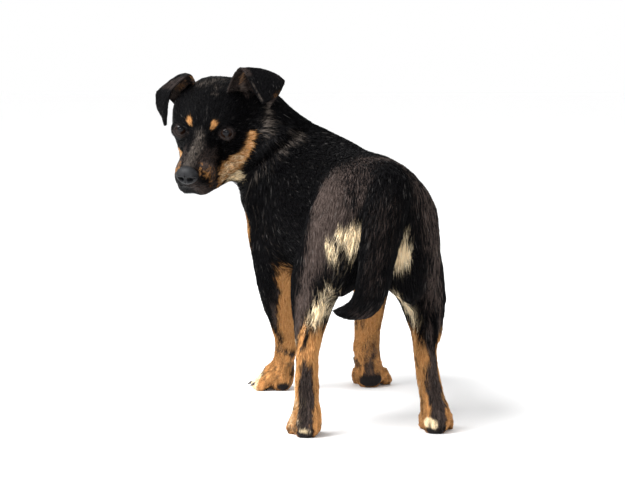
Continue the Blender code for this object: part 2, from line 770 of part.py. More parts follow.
def build():
    clear_scene()
    dog, helpers = collection("small_dog"), collection("cutters")
    coat_black = material("coat_black", BLACK, 0.55)
    coat_tan = material("coat_tan", TAN, 0.60)
    flesh = whole_flesh(dog)
    flatten_soles(flesh)
    thinned(flesh, FLESH_TRIANGLES)
    flatten_soles(flesh)
    eyes = {side: make_eye(side, dog) for side in SIDES}
    eye_cutters = [swollen(eye, f"socket_{side}", helpers) for side, eye in eyes.items()]
    subtract(flesh, eye_cutters)
    flesh_cutter = swollen(flesh, "flesh_swollen", helpers)
    ears = [make_ear(side, flesh_cutter, dog) for side in SIDES]
    nose = make_nose(flesh_cutter, dog)
    claws = []
    for side in SIDES:
        claws += paw_claws(f"fore_{side}", FORE_JOINTS[side], flesh_cutter, dog)
        claws += paw_claws(f"hind_{side}", HIND_JOINTS[side], flesh_cutter, dog)
        claws.append(dew_claw(side, FORE_JOINTS[side], flesh_cutter, dog))
    cutters = [
        plate_cutter(index, *plate, helpers) for index, plate in enumerate(cut_plates())
    ]
    subtract(flesh, cutters)
    pieces = name_pieces(loose_parts(flesh, dog))
    for name, piece in pieces.items():
        tan = name.startswith(("fore_paw", "hind_paw", "hock", "forearm"))
        piece.data.materials.clear()
        piece.data.materials.append(coat_tan if tan else coat_black)
    looks = (
        (ears, coat_black),
        ([nose], material("nose_leather", LEATHER, 0.35)),
        (list(eyes.values()), material("eye", EYE_BROWN, 0.05)),
        (claws, material("claw", CLAW_HORN, 0.30)),
    )
    for objects, look in looks:
        for obj in objects:
            obj.data.materials.clear()
            obj.data.materials.append(look)
    parts = [obj for obj in dog.objects if not obj.hide_render]
    for obj in parts:
        shade(obj)
    shift = centre_on_floor(parts)
    print("parts", len(parts), "floor shift", [round(float(value), 5) for value in shift])


build()
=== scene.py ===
# %% [markdown]
# # A small black-and-tan dog
# A live dog is one skin over its flesh, with a coat of hair growing out of it, two wet eyes, a nose
# of bare leather and horn claws. The solids give the true outline. Here the flesh becomes one skin,
# and tufts of hair made as solid mesh grow from it, so that the outline comes back at their tips.

# %% Load the solids
import json
import math

import bmesh
import bpy
import numpy as np
from mathutils import Matrix, Vector, noise
from mathutils.bvhtree import BVHTree

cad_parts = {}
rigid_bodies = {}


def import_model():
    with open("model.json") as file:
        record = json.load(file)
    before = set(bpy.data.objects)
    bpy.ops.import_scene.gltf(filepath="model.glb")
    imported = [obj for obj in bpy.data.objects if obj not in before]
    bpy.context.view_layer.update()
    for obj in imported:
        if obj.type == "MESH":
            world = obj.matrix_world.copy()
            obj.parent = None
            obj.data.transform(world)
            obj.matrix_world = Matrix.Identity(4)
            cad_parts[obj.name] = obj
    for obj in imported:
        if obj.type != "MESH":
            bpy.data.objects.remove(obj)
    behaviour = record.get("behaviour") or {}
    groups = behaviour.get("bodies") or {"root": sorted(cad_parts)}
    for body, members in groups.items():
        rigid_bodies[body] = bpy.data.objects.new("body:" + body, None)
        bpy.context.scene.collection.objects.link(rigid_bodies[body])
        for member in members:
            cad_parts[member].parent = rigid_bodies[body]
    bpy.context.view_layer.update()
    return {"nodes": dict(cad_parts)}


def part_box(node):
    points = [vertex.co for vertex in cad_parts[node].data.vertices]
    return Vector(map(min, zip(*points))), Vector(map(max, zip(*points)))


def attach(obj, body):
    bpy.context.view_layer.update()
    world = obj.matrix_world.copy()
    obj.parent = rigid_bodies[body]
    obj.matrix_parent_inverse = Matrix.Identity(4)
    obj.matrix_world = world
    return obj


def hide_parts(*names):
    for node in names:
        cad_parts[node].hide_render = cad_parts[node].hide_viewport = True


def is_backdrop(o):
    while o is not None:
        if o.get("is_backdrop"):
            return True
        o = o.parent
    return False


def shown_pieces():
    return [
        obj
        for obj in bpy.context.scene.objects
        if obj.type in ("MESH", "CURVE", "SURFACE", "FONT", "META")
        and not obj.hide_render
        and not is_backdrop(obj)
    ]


for obj in list(bpy.data.objects):
    bpy.data.objects.remove(obj, do_unlink=True)
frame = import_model()

# %% [markdown]
# ## Places on the body
# Every mark and fold is placed from the body's own landmarks. The head has a frame of its own:
# the origin between the eyes, X to the dog's left, -Y along the muzzle and Z up through the crown.
# The eyes' solids say where that frame stands, and the trunk's frame follows from it.

# %% Landmarks
HEAD_TURN, HEAD_NOD, HEAD_TILT = math.radians(154.8), math.radians(25.0), math.radians(4.0)
HEAD_SPIN = (
    Matrix.Rotation(HEAD_TURN, 3, "Z")
    @ Matrix.Rotation(HEAD_NOD, 3, "X")
    @ Matrix.Rotation(HEAD_TILT, 3, "Y")
)
SIDES = {"left": 1, "right": -1}


def middle(node):
    low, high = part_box(node)
    return (low + high) / 2


EYE_PLACES = {side: middle(f"eye_{side}") for side in SIDES}
EYE_RADIUS = (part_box("eye_left")[1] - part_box("eye_left")[0]).x / 2
between_eyes = (EYE_PLACES["left"] + EYE_PLACES["right"]) / 2
HEAD = Matrix.Translation(between_eyes - HEAD_SPIN @ Vector((0, 0.0050, -0.0028))) @ HEAD_SPIN.to_4x4()
TRUNK = HEAD.translation - Vector((0.1458, -0.1010, 0.3133))
PAWS = {(end, side): middle(f"{end}_paw_{side}") for end in ("fore", "hind") for side in SIDES}
print("head at", [round(v, 4) for v in HEAD.translation], "eye radius", round(EYE_RADIUS, 4))


def on_trunk(x, y, z):
    """X to the dog's left, Y to its rear, Z up, from the floor under the middle of its spine."""
    return TRUNK + Vector((x, y, z))


# %% [markdown]
# ## Working on meshes
# A mesh of a hundred thousand points is slow to walk through one point at a time, so points travel
# as one array, and named attributes carry what is known at each point: how deep the coat is, which
# way the hair lies, and how tan it is there.

# %% Arrays in and out of a mesh
def points_of(obj):
    flat = np.empty(len(obj.data.vertices) * 3, np.float32)
    obj.data.vertices.foreach_get("co", flat)
    return flat.reshape(-1, 3).astype(float)


def move_points(obj, points):
    obj.data.vertices.foreach_set("co", points.astype(np.float32).ravel())
    obj.data.update()


def normals_of(obj):
    flat = np.empty(len(obj.data.vertices) * 3, np.float32)
    obj.data.vertex_normals.foreach_get("vector", flat)
    return flat.reshape(-1, 3).astype(float)


def store(obj, name, values):
    """Keeps a number or a direction at each point, as a named attribute."""
    kind = "FLOAT_VECTOR" if values.ndim == 2 else "FLOAT"
    attribute = obj.data.attributes.get(name) or obj.data.attributes.new(name, kind, "POINT")
    key = "vector" if values.ndim == 2 else "value"
    attribute.data.foreach_set(key, values.astype(np.float32).ravel())


def baked(obj):
    """Replaces the object's mesh by what its modifiers make of it."""
    graph = bpy.context.evaluated_depsgraph_get()
    graph.update()
    mesh = bpy.data.meshes.new_from_object(obj.evaluated_get(graph))
    obj.modifiers.clear()
    obj.data = mesh
    return obj


def new_object(name, mesh):
    made = bpy.data.objects.new(name, mesh)
    bpy.context.scene.collection.objects.link(made)
    return made


def seen_from(place, points):
    """The points as they stand in a frame of their own."""
    inverse = np.array(place.inverted())
    return points @ inverse[:3, :3].T + inverse[:3, 3]


def smoothstep(low, high, values):
    share = np.clip((values - low) / (high - low), 0, 1)
    return share * share * (3 - 2 * share)


# %% [markdown]
# ## One skin
# The flesh was parted into pieces that a person would name, with hairline cuts between them. On the
# living dog no such seam exists. The pieces and the ears are swollen by a hair's breadth so that
# they overlap, joined, and remeshed on a fine grid into one closed surface. Modelling the skin anew
# by hand would lose the outline that the solids hold. A thinning then keeps the points close
# together on the face, the ears and the feet, and wider apart on the trunk.

# %% Join the flesh and remesh it
FLESH = sorted(name for name in frame["nodes"] if not name.startswith(("eye", "nose", "claw", "dewclaw")))
SKIN_VOXEL = 0.0011
SKIN_TRIANGLES = 190000


def joined_flesh():
    bm = bmesh.new()
    for name in [*FLESH, "eye_left", "eye_right"]:
        piece = bmesh.new()
        piece.from_mesh(frame["nodes"][name].data)
        bmesh.ops.remove_doubles(piece, verts=piece.verts, dist=1e-5)
        swell = 0.0001 if name.startswith("ear") else 0.0004
        piece.normal_update()
        for vertex in piece.verts:
            vertex.co += vertex.normal * swell
        mesh = bpy.data.meshes.new(name + "_copy")
        piece.to_mesh(mesh)
        piece.free()
        bm.from_mesh(mesh)
        bpy.data.meshes.remove(mesh)
    mesh = bpy.data.meshes.new("skin")
    bm.to_mesh(mesh)
    bm.free()
    return new_object("skin", mesh)


skin = joined_flesh()
grid = skin.modifiers.new("one surface", "REMESH")
grid.mode = "VOXEL"
grid.voxel_size = SKIN_VOXEL
baked(skin)
print("skin grid", len(skin.data.vertices), "points")


# %% Ease the grid and thin it where the body is plain
def edges_of(obj):
    flat = np.empty(len(obj.data.edges) * 2, np.int32)
    obj.data.edges.foreach_get("vertices", flat)
    return flat.reshape(-1, 2)


def blurred(values, edges, rounds, share=0.5):
    """Each round moves every point's value towards the mean of its neighbours'."""
    count = len(values)
    ends = np.concatenate([edges[:, 0], edges[:, 1]])
    others = np.concatenate([edges[:, 1], edges[:, 0]])
    links = np.maximum(np.bincount(ends, minlength=count), 1)
    columns = values.reshape(count, -1).astype(float)
    share = np.broadcast_to(np.asarray(share, float), (count,))
    for _ in range(rounds):
        mean = np.stack(
            [np.bincount(ends, column[others], count) / links for column in columns.T], axis=1
        )
        columns = columns + (mean - columns) * share[:, None]
    return columns.reshape(values.shape)


def eased(points, edges, rounds, strength):
    """Smooths without shrinking: a step in, then a slightly longer step out."""
    for _ in range(rounds):
        points = blurred(points, edges, 1, 0.55 * strength)
        points = blurred(points, edges, 1, -0.57 * strength)
    return points


def to_head(points):
    return seen_from(HEAD, points)


def face_share(points):
    """1 on the face and the ears, falling to 0 behind them."""
    local = to_head(points)
    near = 1 - smoothstep(0.085, 0.110, np.linalg.norm(local, axis=1))
    return near * (1 - smoothstep(0.050, 0.075, local[:, 1]))


def foot_share(points):
    return 1 - smoothstep(0.030, 0.055, points[:, 2])


move_points(skin, eased(points_of(skin), edges_of(skin), 3, 1.0))
detail = np.maximum(face_share(points_of(skin)), 0.6 * foot_share(points_of(skin)))
coarse = np.round(1 - 0.9 * detail, 1)
group = skin.vertex_groups.new(name="coarse")
for level in np.unique(coarse):
    group.add([int(i) for i in np.flatnonzero(coarse == level)], float(level), "REPLACE")
thin = skin.modifiers.new("thin", "DECIMATE")
thin.ratio = SKIN_TRIANGLES / (2 * len(skin.data.polygons))
thin.vertex_group = "coarse"
thin.vertex_group_factor = 0.02
baked(skin)
skin.vertex_groups.clear()
strength = 1 - 0.9 * face_share(points_of(skin))
strength *= 1 - 0.6 * foot_share(points_of(skin))
move_points(skin, eased(points_of(skin), edges_of(skin), 14, strength))
print("skin thinned to", len(skin.data.polygons), "triangles")

# %% [markdown]
# ## Eyelids and lips
# A dog's eyelids are skin drawn over the eyeball, with an almond opening and a dark moist rim. The
# skin first swells over each eyeball by the thickness of a lid, then the points inside the almond
# sink out of sight behind it. Cutting a hole instead would leave an open edge. The line of the
# mouth is a groove pressed along the lips.

# %% The almond openings
EYE_SHAPES = {
    "left": {"out": 14.0, "up": 19.0, "inner": 0.0076, "outer": 0.0076, "top": 0.0068, "bottom": 0.0060},
    "right": {"out": -13.0, "up": 16.0, "inner": 0.0074, "outer": 0.0068, "top": 0.0066, "bottom": 0.0068},
}
LID = 0.0008


def eye_frame(side):
    """Origin in the eyeball, Z out through the middle of the opening, X towards the temple."""
    shape, sign = EYE_SHAPES[side], SIDES[side]
    out, up = math.radians(shape["out"]), math.radians(shape["up"])
    forward = Vector((sign * math.sin(out) * math.cos(up), -math.cos(out) * math.cos(up), math.sin(up)))
    upward = (Vector((0, 0, 1)) - forward * forward.z).normalized()
    temple = upward.cross(forward).normalized() * sign
    turn = Matrix((temple, upward, forward)).transposed()
    local = Matrix.Translation(HEAD.inverted() @ EYE_PLACES[side]) @ turn.to_4x4()
    return HEAD @ local


def almond_radius(shape, angle):
    """How far the lid's edge lies from the middle of the opening, for each direction round it."""
    across = np.where(np.cos(angle) > 0, shape["outer"], shape["inner"])
    high = np.where(np.sin(angle) > 0, shape["top"], shape["bottom"])
    power = 1.75
    return ((np.abs(np.cos(angle)) / across) ** power + (np.abs(np.sin(angle)) / high) ** power) ** (
        -1 / power
    )


def round_opening(side, shape, points):
    """The points in the eye's frame, and how far out they lie, with 1 at the edge of its opening."""
    local = seen_from(eye_frame(side), points)
    edge = almond_radius(shape, np.arctan2(local[:, 1], local[:, 0]))
    return local, np.linalg.norm(local[:, :2], axis=1) / edge


def draw_lids(points):
    for side, shape in EYE_SHAPES.items():
        place = eye_frame(side)
        local, share = round_opening(side, shape, points)
        distance = np.linalg.norm(local, axis=1)
        ahead = (local[:, 2] > 0.001) & (distance < 0.022)
        swollen = np.maximum(distance, EYE_RADIUS + LID * (1 + 0.25 * np.clip(share - 1, 0, 1)))
        sunk = EYE_RADIUS - 0.0022
        wanted = np.where(share < 0.97, sunk, swollen)
        wanted = np.where(ahead, wanted, distance)
        local *= (wanted / np.maximum(distance, 1e-6))[:, None]
        matrix = np.array(place)
        points = local @ matrix[:3, :3].T + matrix[:3, 3]
    return points


def along_line(points, line):
    """How far each point is from a line of straight stretches, and how far along it, 0 to 1."""
    line = np.array(line, float)
    steps = np.linalg.norm(np.diff(line, axis=0), axis=1)
    starts = np.concatenate([[0], np.cumsum(steps)])
    best, place = np.full(len(points), 1e9), np.zeros(len(points))
    for index, (a, b) in enumerate(zip(line, line[1:])):
        t = np.clip((points - a) @ (b - a) / max((b - a) @ (b - a), 1e-12), 0, 1)
        away = np.linalg.norm(points - a - t[:, None] * (b - a), axis=1)
        nearer = away < best
        best = np.where(nearer, away, best)
        place = np.where(nearer, (starts[index] + t * steps[index]) / starts[-1], place)
    return best, place


LIP_LINE = (
    (0, -0.071, -0.037), (0.008, -0.066, -0.040), (0.016, -0.052, -0.043), (0.023, -0.034, -0.046),
    (0.030, -0.014, -0.0475),
)


def press_lips(points, normals):
    local = to_head(points)
    for sign in SIDES.values():
        line = [(sign * x, y, z) for x, y, z in LIP_LINE]
        away, place = along_line(local, line)
        groove = np.exp(-((away / 0.0015) ** 2)) * (1 - smoothstep(0.85, 1.0, place))
        points = points - normals * (0.0026 * groove)[:, None]
    return points


shaped = press_lips(points_of(skin), normals_of(skin))
move_points(skin, draw_lids(shaped))
print("lids drawn over both eyes")

# %% [markdown]
# ## What is known at each point of the skin
# A short coat is not the same all over: it is a few millimetres on the face and the feet and over a
# centimetre on the neck and the tail. A table by body part gives the hair's length, the depth of
# the coat and how crowded the tufts are. Blurring those numbers over the surface hides the borders.

# %% The coat by body part
COAT = {  # length of hair, depth of the coat, width of a tuft, tufts per square centimetre
    "head": (0.0075, 0.0010, 0.00055, 120),
    "ear": (0.0050, 0.0004, 0.00050, 110),
    "neck": (0.0190, 0.0026, 0.00070, 62),
    "chest": (0.0190, 0.0024, 0.00070, 60),
    "belly": (0.0180, 0.0024, 0.00070, 52),
    "rump": (0.0180, 0.0022, 0.00070, 60),
    "thigh": (0.0180, 0.0022, 0.00070, 60),
    "shank": (0.0130, 0.0018, 0.00068, 74),
    "hock": (0.0080, 0.0011, 0.00060, 90),
    "hind_paw": (0.0050, 0.0008, 0.00052, 110),
    "upper_arm": (0.0150, 0.0020, 0.00070, 62),
    "forearm": (0.0085, 0.0012, 0.00060, 90),
    "fore_paw": (0.0050, 0.0008, 0.00052, 110),
    "tail_root": (0.0160, 0.0022, 0.00070, 62),
    "tail_middle": (0.0150, 0.0020, 0.00070, 66),
    "tail_tip": (0.0130, 0.0018, 0.00068, 80),
}
SINK = 0.85  # of the coat's depth, so that the tufts' tips come back to the outline
REGIONS = [
    ("head", ("head", "ear_left", "ear_right")),
    ("neck", ("neck",)),
    ("chest", ("chest", "upper_arm_left", "upper_arm_right")),
    ("belly", ("belly",)),
    ("rump", ("rump", "tail_root", "tail_middle", "tail_tip")),
    ("thighs", ("thigh_left", "thigh_right")),
    (
        "lower_legs",
        (
            "shank_left", "shank_right", "hock_left", "hock_right", "forearm_left", "forearm_right",
            "hind_paw_left", "hind_paw_right", "fore_paw_left", "fore_paw_right",
        ),
    ),
]


def part_at(points):
    """The name of the flesh that lies nearest to each point."""
    corners, faces, owner = [], [], []
    for number, name in enumerate(FLESH):
        mesh, start = frame["nodes"][name].data, len(corners)
        corners += [v.co for v in mesh.vertices]
        faces += [[start + i for i in polygon.vertices] for polygon in mesh.polygons]
        owner += [number] * len(mesh.polygons)
    tree = BVHTree.FromPolygons(corners, faces)
    return np.array([owner[tree.find_nearest(Vector(point))[2]] for point in points])


skin_part = part_at(points_of(skin))
skin_edges = edges_of(skin)
plain = np.array([next(row for key, row in COAT.items() if name.startswith(key)) for name in FLESH])
coat = plain[skin_part]
quick_blur = 40
coat = blurred(coat, skin_edges, quick_blur)
hair_length, coat_depth, tuft_width, crowding = coat.T
print("hair from", round(hair_length.min(), 4), "to", round(hair_length.max(), 4), "m long")

# %% [markdown]
# ## The lie of the coat
# Hair lies flat and points away from the nose: back over the forehead and down the cheeks, along the
# neck and the spine, down and back over the flanks, and straight down each leg to the toes. Each
# stream of hair is a short line with a start and an end. At any point of the skin the nearest
# streams say which way the hair lies there, and the nearer one counts more.

# %% Streams of hair
def mirrored(lines):
    return lines + [[(-x, y, z) for x, y, z in line] for line in lines]


HEAD_STREAMS = [
    [(0, -0.060, -0.014), (0, -0.025, 0.000), (0, 0.000, 0.024), (0, 0.030, 0.040), (0, 0.075, 0.036)],
    *mirrored(
        [
            [
                (0.012, -0.058, -0.026), (0.018, -0.030, -0.020), (0.034, 0.004, -0.018),
                (0.046, 0.034, -0.018),
            ],
            [
                (0.010, -0.058, -0.040), (0.022, -0.030, -0.044), (0.034, 0.006, -0.045),
                (0.042, 0.045, -0.050),
            ],
            [(0.006, -0.045, -0.055), (0.015, -0.010, -0.060), (0.018, 0.050, -0.066)],
            [(0.012, -0.016, 0.008), (0.024, 0.000, 0.022), (0.032, 0.034, 0.030), (0.030, 0.070, 0.026)],
            [(0.038, 0.006, -0.004), (0.046, 0.030, -0.004), (0.046, 0.060, -0.012)],
        ]
    ),
    [
        (0.042, 0.040, 0.019), (0.058, 0.042, 0.047), (0.066, 0.039, 0.060), (0.068, 0.027, 0.045),
        (0.071, 0.016, 0.031),
    ],
    [
        (-0.028, 0.043, 0.014), (-0.042, 0.045, 0.035), (-0.047, 0.040, 0.040), (-0.052, 0.027, 0.022),
        (-0.048, 0.011, 0.000),
    ],
]
TRUNK_STREAMS = [
    [
        (0.116, -0.150, 0.352), (0.055, -0.115, 0.335), (0.010, -0.080, 0.314), (-0.002, 0.000, 0.306),
        (-0.014, 0.120, 0.296), (-0.013, 0.165, 0.280),
    ],
    [(0.105, -0.120, 0.320), (0.072, -0.098, 0.290), (0.064, -0.085, 0.235), (0.060, -0.080, 0.190)],
    [(0.085, -0.190, 0.345), (0.000, -0.170, 0.300), (-0.050, -0.110, 0.250), (-0.055, -0.095, 0.195)],
    [(0.110, -0.160, 0.280), (0.060, -0.180, 0.240), (0.015, -0.182, 0.190), (0.000, -0.150, 0.150)],
    *mirrored(
        [
            [(0.052, -0.085, 0.280), (0.050, 0.010, 0.272), (0.046, 0.080, 0.262), (0.050, 0.130, 0.215)],
            [(0.066, -0.070, 0.225), (0.055, 0.020, 0.215), (0.050, 0.060, 0.205)],
            [(0.056, -0.080, 0.175), (0.046, 0.020, 0.168), (0.040, 0.060, 0.165)],
            [(0.012, -0.140, 0.148), (0.012, -0.020, 0.148), (0.006, 0.080, 0.160)],
            [(0.062, -0.130, 0.250), (0.064, -0.125, 0.200), (0.062, -0.108, 0.150)],
        ]
    ),
    [
        (-0.015, 0.165, 0.278), (-0.011, 0.196, 0.245), (-0.002, 0.212, 0.212), (0.003, 0.210, 0.182),
        (0.006, 0.200, 0.150), (0.018, 0.186, 0.135), (0.042, 0.170, 0.134),
    ],
    [(0.062, 0.060, 0.235), (0.066, 0.080, 0.180), (0.064, 0.110, 0.130)],
    [(-0.080, 0.060, 0.235), (-0.100, 0.080, 0.180), (-0.092, 0.110, 0.130)],
    [(0.022, 0.165, 0.250), (0.040, 0.172, 0.200), (0.052, 0.155, 0.150), (0.060, 0.145, 0.118)],
    [(-0.046, 0.165, 0.250), (-0.055, 0.172, 0.200), (-0.060, 0.155, 0.150), (-0.062, 0.145, 0.118)],
]
for side, sign in SIDES.items():
    hind, fore = PAWS["hind", side] - TRUNK, PAWS["fore", side] - TRUNK
    shin, elbow = middle(f"hock_{side}") - TRUNK, middle(f"forearm_{side}") - TRUNK
    TRUNK_STREAMS += [
        [(shin.x, 0.140, 0.120), (shin.x, 0.150, 0.085), (shin.x, 0.143, 0.030)],
        [tuple(Vector((shin.x, 0.143, 0.030)).lerp(hind, 0.4)), (hind.x, hind.y - 0.025, 0.012)],
        [(elbow.x, -0.100, 0.160), (elbow.x, -0.128, 0.100), (elbow.x * 0.9, -0.150, 0.050)],
        [(elbow.x * 0.9, -0.150, 0.045), (fore.x, fore.y, 0.020)],
    ]
FORE_TOES = {"left": math.radians(60), "right": math.radians(22)}
for side, out in FORE_TOES.items():
    paw = PAWS["fore", side] - TRUNK
    toes = Vector((SIDES[side] * math.sin(out), -math.cos(out), -0.35)) * 0.02
    TRUNK_STREAMS.append(
        [tuple(paw - toes + Vector((0, 0, 0.006))), tuple(paw + toes + Vector((0, 0, 0.006)))]
    )


def lie_of_hair(points, normals):
    local, trunk = to_head(points), points - np.array(TRUNK)
    to_trunk = np.array(HEAD_SPIN)
    total = np.zeros((len(points), 3))
    for lines, places, turn in ((HEAD_STREAMS, local, to_trunk), (TRUNK_STREAMS, trunk, np.eye(3))):
        for line in lines:
            for a, b in zip(line, line[1:]):
                a, b = np.array(a, float), np.array(b, float)
                span = b - a
                t = np.clip((places - a) @ span / (span @ span), 0, 1)
                away = np.linalg.norm(places - a - t[:, None] * span, axis=1)
                weight = 1 / (away + 0.004) ** 4
                total += weight[:, None] * (turn @ (span / np.linalg.norm(span)))
    total -= normals * np.sum(total * normals, axis=1)[:, None]
    return total / np.maximum(np.linalg.norm(total, axis=1), 1e-9)[:, None]


lie = lie_of_hair(points_of(skin), normals_of(skin))
lie = blurred(lie, skin_edges, quick_blur // 2)
lie /= np.maximum(np.linalg.norm(lie, axis=1), 1e-9)[:, None]
print("streams", len(HEAD_STREAMS) + len(TRUNK_STREAMS))


# %% [markdown]
# ## Streaks in the coat
# Short hair parts into locks that catch the light as long pale and dark streaks. A noise texture
# has round blots instead, so random numbers are spread from point to point along the hair, and
# hardly at all across it. The same streaks later raise the skin and fray the markings, and scale
# the coat's colour darker and paler as painted shade and painted highlight.

# %% Comb a noise into streaks
def combed(values, points, edges, rounds):
    """Spreads values along the hair but not across it, so that a noise becomes long streaks."""
    a, b = edges.T
    step = points[b] - points[a]
    step /= np.maximum(np.linalg.norm(step, axis=1), 1e-9)[:, None]
    pull = np.abs(np.sum(step * (lie[a] + lie[b]) / 2, axis=1)) ** 8
    weight = 1 + np.bincount(a, pull, len(points)) + np.bincount(b, pull, len(points))
    for _ in range(rounds):
        values = (
            values + np.bincount(
                a, pull * values[b], len(points),
            ) + np.bincount(b, pull * values[a], len(points))
        ) / weight
    return (values - values.mean()) / values.std()


dice = np.random.default_rng(7)
fine_streak = combed(
    blurred(dice.normal(size=len(coat)), skin_edges, 1), points_of(skin), skin_edges,
    28,
)
broad_streak = combed(
    blurred(dice.normal(size=len(coat)), skin_edges, 5), points_of(skin), skin_edges,
    60,
)
streak = 0.55 * fine_streak + 0.75 * broad_streak
print("streaks from", round(float(streak.min()), 1), "to", round(float(streak.max()), 1))

# %% [markdown]
# ## Markings
# The pattern is black with tan points: a spot over each eye, the cheeks, the lower legs and feet, and
# the buttocks beside the tail, which pale to cream inside the thighs. Each mark is a line with a
# width, painted onto the points of the skin nearest to it. A ragged edge comes from noise that is
# stretched along the hair. The skin and every tuft read the same masks, so the marks agree.

# %% Paint the markings
def noise_at(points, scale, seed):
    shift = Vector((seed * 17.3, seed * 5.1, seed * 11.7))
    return np.array([noise.noise(Vector(point) / scale + shift) for point in points])


skin_points = points_of(skin)
head_points, trunk_points = to_head(skin_points), skin_points - np.array(TRUNK)
deep_points = trunk_points - normals_of(skin) * coat_depth[:, None] * SINK
ragged = noise_at(skin_points, 0.006, 1) + 0.5 * noise_at(skin_points, 0.0025, 2) + 0.45 * fine_streak
cloudy = noise_at(skin_points, 0.030, 3) + 0.5 * noise_at(skin_points, 0.012, 4)
masks = {name: np.zeros(len(skin_points)) for name in ("tan", "cream", "brown", "grey", "bare")}


def mark(mask, place, line, radii, soft=0.002, rag=0.0015, share=1.0, clear=False):
    """Paints a line of the given radii, or wipes it away, with an edge that is soft and ragged.

    The line is measured on the head or the trunk at the tips of the coat, or on the trunk's skin
    below it."""
    points = {"head": head_points, "trunk": trunk_points, "skin": deep_points}[place]
    away, along = along_line(points, line)
    radius = np.interp(along, np.linspace(0, 1, len(radii)), radii)
    inside = (1 - smoothstep(-soft, soft, away - radius + rag * ragged)) * share
    masks[mask] = masks[mask] * (1 - inside) if clear else np.maximum(masks[mask], inside)


def below(height, soft, names, mask="tan", share=1.0):
    """Paints what lies lower than a height on the named parts."""
    chosen = np.isin(skin_part, [FLESH.index(name) for name in names])
    level = height - trunk_points[:, 2] + 0.004 * ragged + 0.004 * cloudy
    masks[mask] = np.maximum(masks[mask], chosen * smoothstep(-soft, soft, level) * share)


# the head: brows, cheeks, jaw and mottled muzzle
speckle = noise_at(skin_points, 0.0032, 5) + 0.6 * noise_at(skin_points, 0.0016, 6)
mark(
    "tan", "head", [(0.0165, -0.0047, 0.0122), (0.0140, -0.0057, 0.0072)], (0.0040, 0.0024),
    soft=0.0010, rag=0.0006,
)
mark(
    "tan", "head", [(-0.0130, -0.0033, 0.0146), (-0.0122, -0.0053, 0.0108)], (0.0038, 0.0026),
    soft=0.0010, rag=0.0006,
)
CHEEK = [
    (0.0528, 0.0206, -0.0107), (0.0512, 0.0158, -0.0188), (0.0480, 0.0121, -0.0289),
    (0.0383, 0.0097, -0.0395), (0.0295, -0.0028, -0.0449), (0.0254, -0.0184, -0.0474),
    (0.0208, -0.0249, -0.0548),
]
for sign in SIDES.values():
    line = [(sign * x, y, z) for x, y, z in CHEEK]
    mark(
        "tan", "head", line, (0.0050, 0.0052, 0.0056, 0.0088, 0.0106, 0.0082, 0.0056), soft=0.0016,
        rag=0.0018,
    )
    mark(
        "cream", "head", line, (0.0034, 0.0036, 0.0040, 0.0064, 0.0070, 0.0050, 0.0030), soft=0.0030,
        rag=0.0024, share=0.28,
    )
    # the lower cheek paler still: partly the cheek's own pale hair, partly painted light where the lamps
    # leave it in shade
    mark("cream", "head", line[3:6], (0.0074, 0.0086, 0.0060), soft=0.0035, rag=0.0024, share=0.42)
    mark(
        "brown", "head",
        [
            (sign * 0.0120, -0.0470, -0.0120), (sign * 0.0180, -0.0250, -0.0200),
            (sign * 0.0230, -0.0300, -0.0420),
        ],
        (0.0110, 0.0120, 0.0090), soft=0.008, rag=0.002, share=0.42,
    )
    mark(
        "cream", "head", [(sign * 0.036, 0.012, -0.060), (sign * 0.027, -0.008, -0.058)],
        (0.0075, 0.0060), soft=0.005, rag=0.002,
    )
    mark(
        "cream", "head", [(sign * 0.0400, 0.0110, -0.0450), (sign * 0.0300, 0.0000, -0.0500)],
        (0.004, 0.004), soft=0.005, rag=0.002, share=0.35,
    )
    mark(
        "brown", "head",
        [
            (sign * 0.0147, -0.0474, -0.0200), (sign * 0.0205, -0.0380, -0.0300),
            (sign * 0.0200, -0.0380, -0.0420),
        ],
        (0.0065, 0.0090, 0.0085), soft=0.004, rag=0.002, share=1.0,
    )
    pad, _ = along_line(
        head_points,
        [
            (sign * 0.0160, -0.0520, -0.0230), (sign * 0.0205, -0.0400, -0.0330),
            (sign * 0.0200, -0.0400, -0.0400),
        ],
    )
    inside = (1 - smoothstep(0.006, 0.012, pad)) * smoothstep(-0.15, 0.35, speckle)
    masks["tan"] = np.maximum(masks["tan"], 0.55 * inside)
mark(
    "brown", "head", [(0.006, -0.060, -0.040), (0.014, -0.052, -0.050), (0.020, -0.035, -0.055)],
    (0.009, 0.009, 0.008), soft=0.006, rag=0.002, share=0.55,
)
mark(
    "tan", "head", [(0, -0.030, -0.058), (0, 0.020, -0.066)], (0.010, 0.022), soft=0.006, rag=0.003,
    share=0.9,
)
mark(
    "cream", "head", [(0, -0.005, -0.062), (0, 0.030, -0.072)], (0.010, 0.020), soft=0.008, rag=0.003,
    share=0.8,
)
mark(
    "tan", "head", [(0.0276, -0.0036, -0.0577), (0.0270, -0.0060, -0.0570)], (0.0030, 0.0030),
    soft=0.0012, rag=0.001, share=0.9, clear=True,
)
mark(
    "cream", "head", [(0.0276, -0.0036, -0.0577), (0.0270, -0.0060, -0.0570)], (0.0030, 0.0030),
    soft=0.0012, rag=0.001, share=0.9, clear=True,
)
# grey along the top of the muzzle: partly grey hair, partly painted sheen on the ridge
mark(
    "grey", "head", [(0.0005, -0.054, -0.010), (0.0027, -0.031, -0.0026), (0.003, -0.016, 0.004)],
    (0.007, 0.007, 0.005), soft=0.007, rag=0.002, share=0.55,
)
mark(
    "grey", "head", [(-0.0087, 0.0407, 0.0391), (0.0003, 0.0474, 0.0404), (0.0102, 0.0546, 0.0390)],
    (0.007, 0.007, 0.006), soft=0.006, rag=0.006, share=0.40,
)
mark(
    "grey", "head", [(0.0089, 0.0256, 0.0361), (0.0095, 0.0340, 0.0380), (0.0131, 0.0405, 0.0382)],
    (0.0022, 0.0028, 0.0024), soft=0.003, rag=0.004, share=0.70,
)
mark(
    "grey", "head", [(0.0683, 0.0481, 0.0142), (0.0662, 0.0455, 0.0063), (0.0682, 0.0263, -0.0072)],
    (0.0030, 0.0040, 0.0030), soft=0.003, rag=0.003, share=0.9,
)
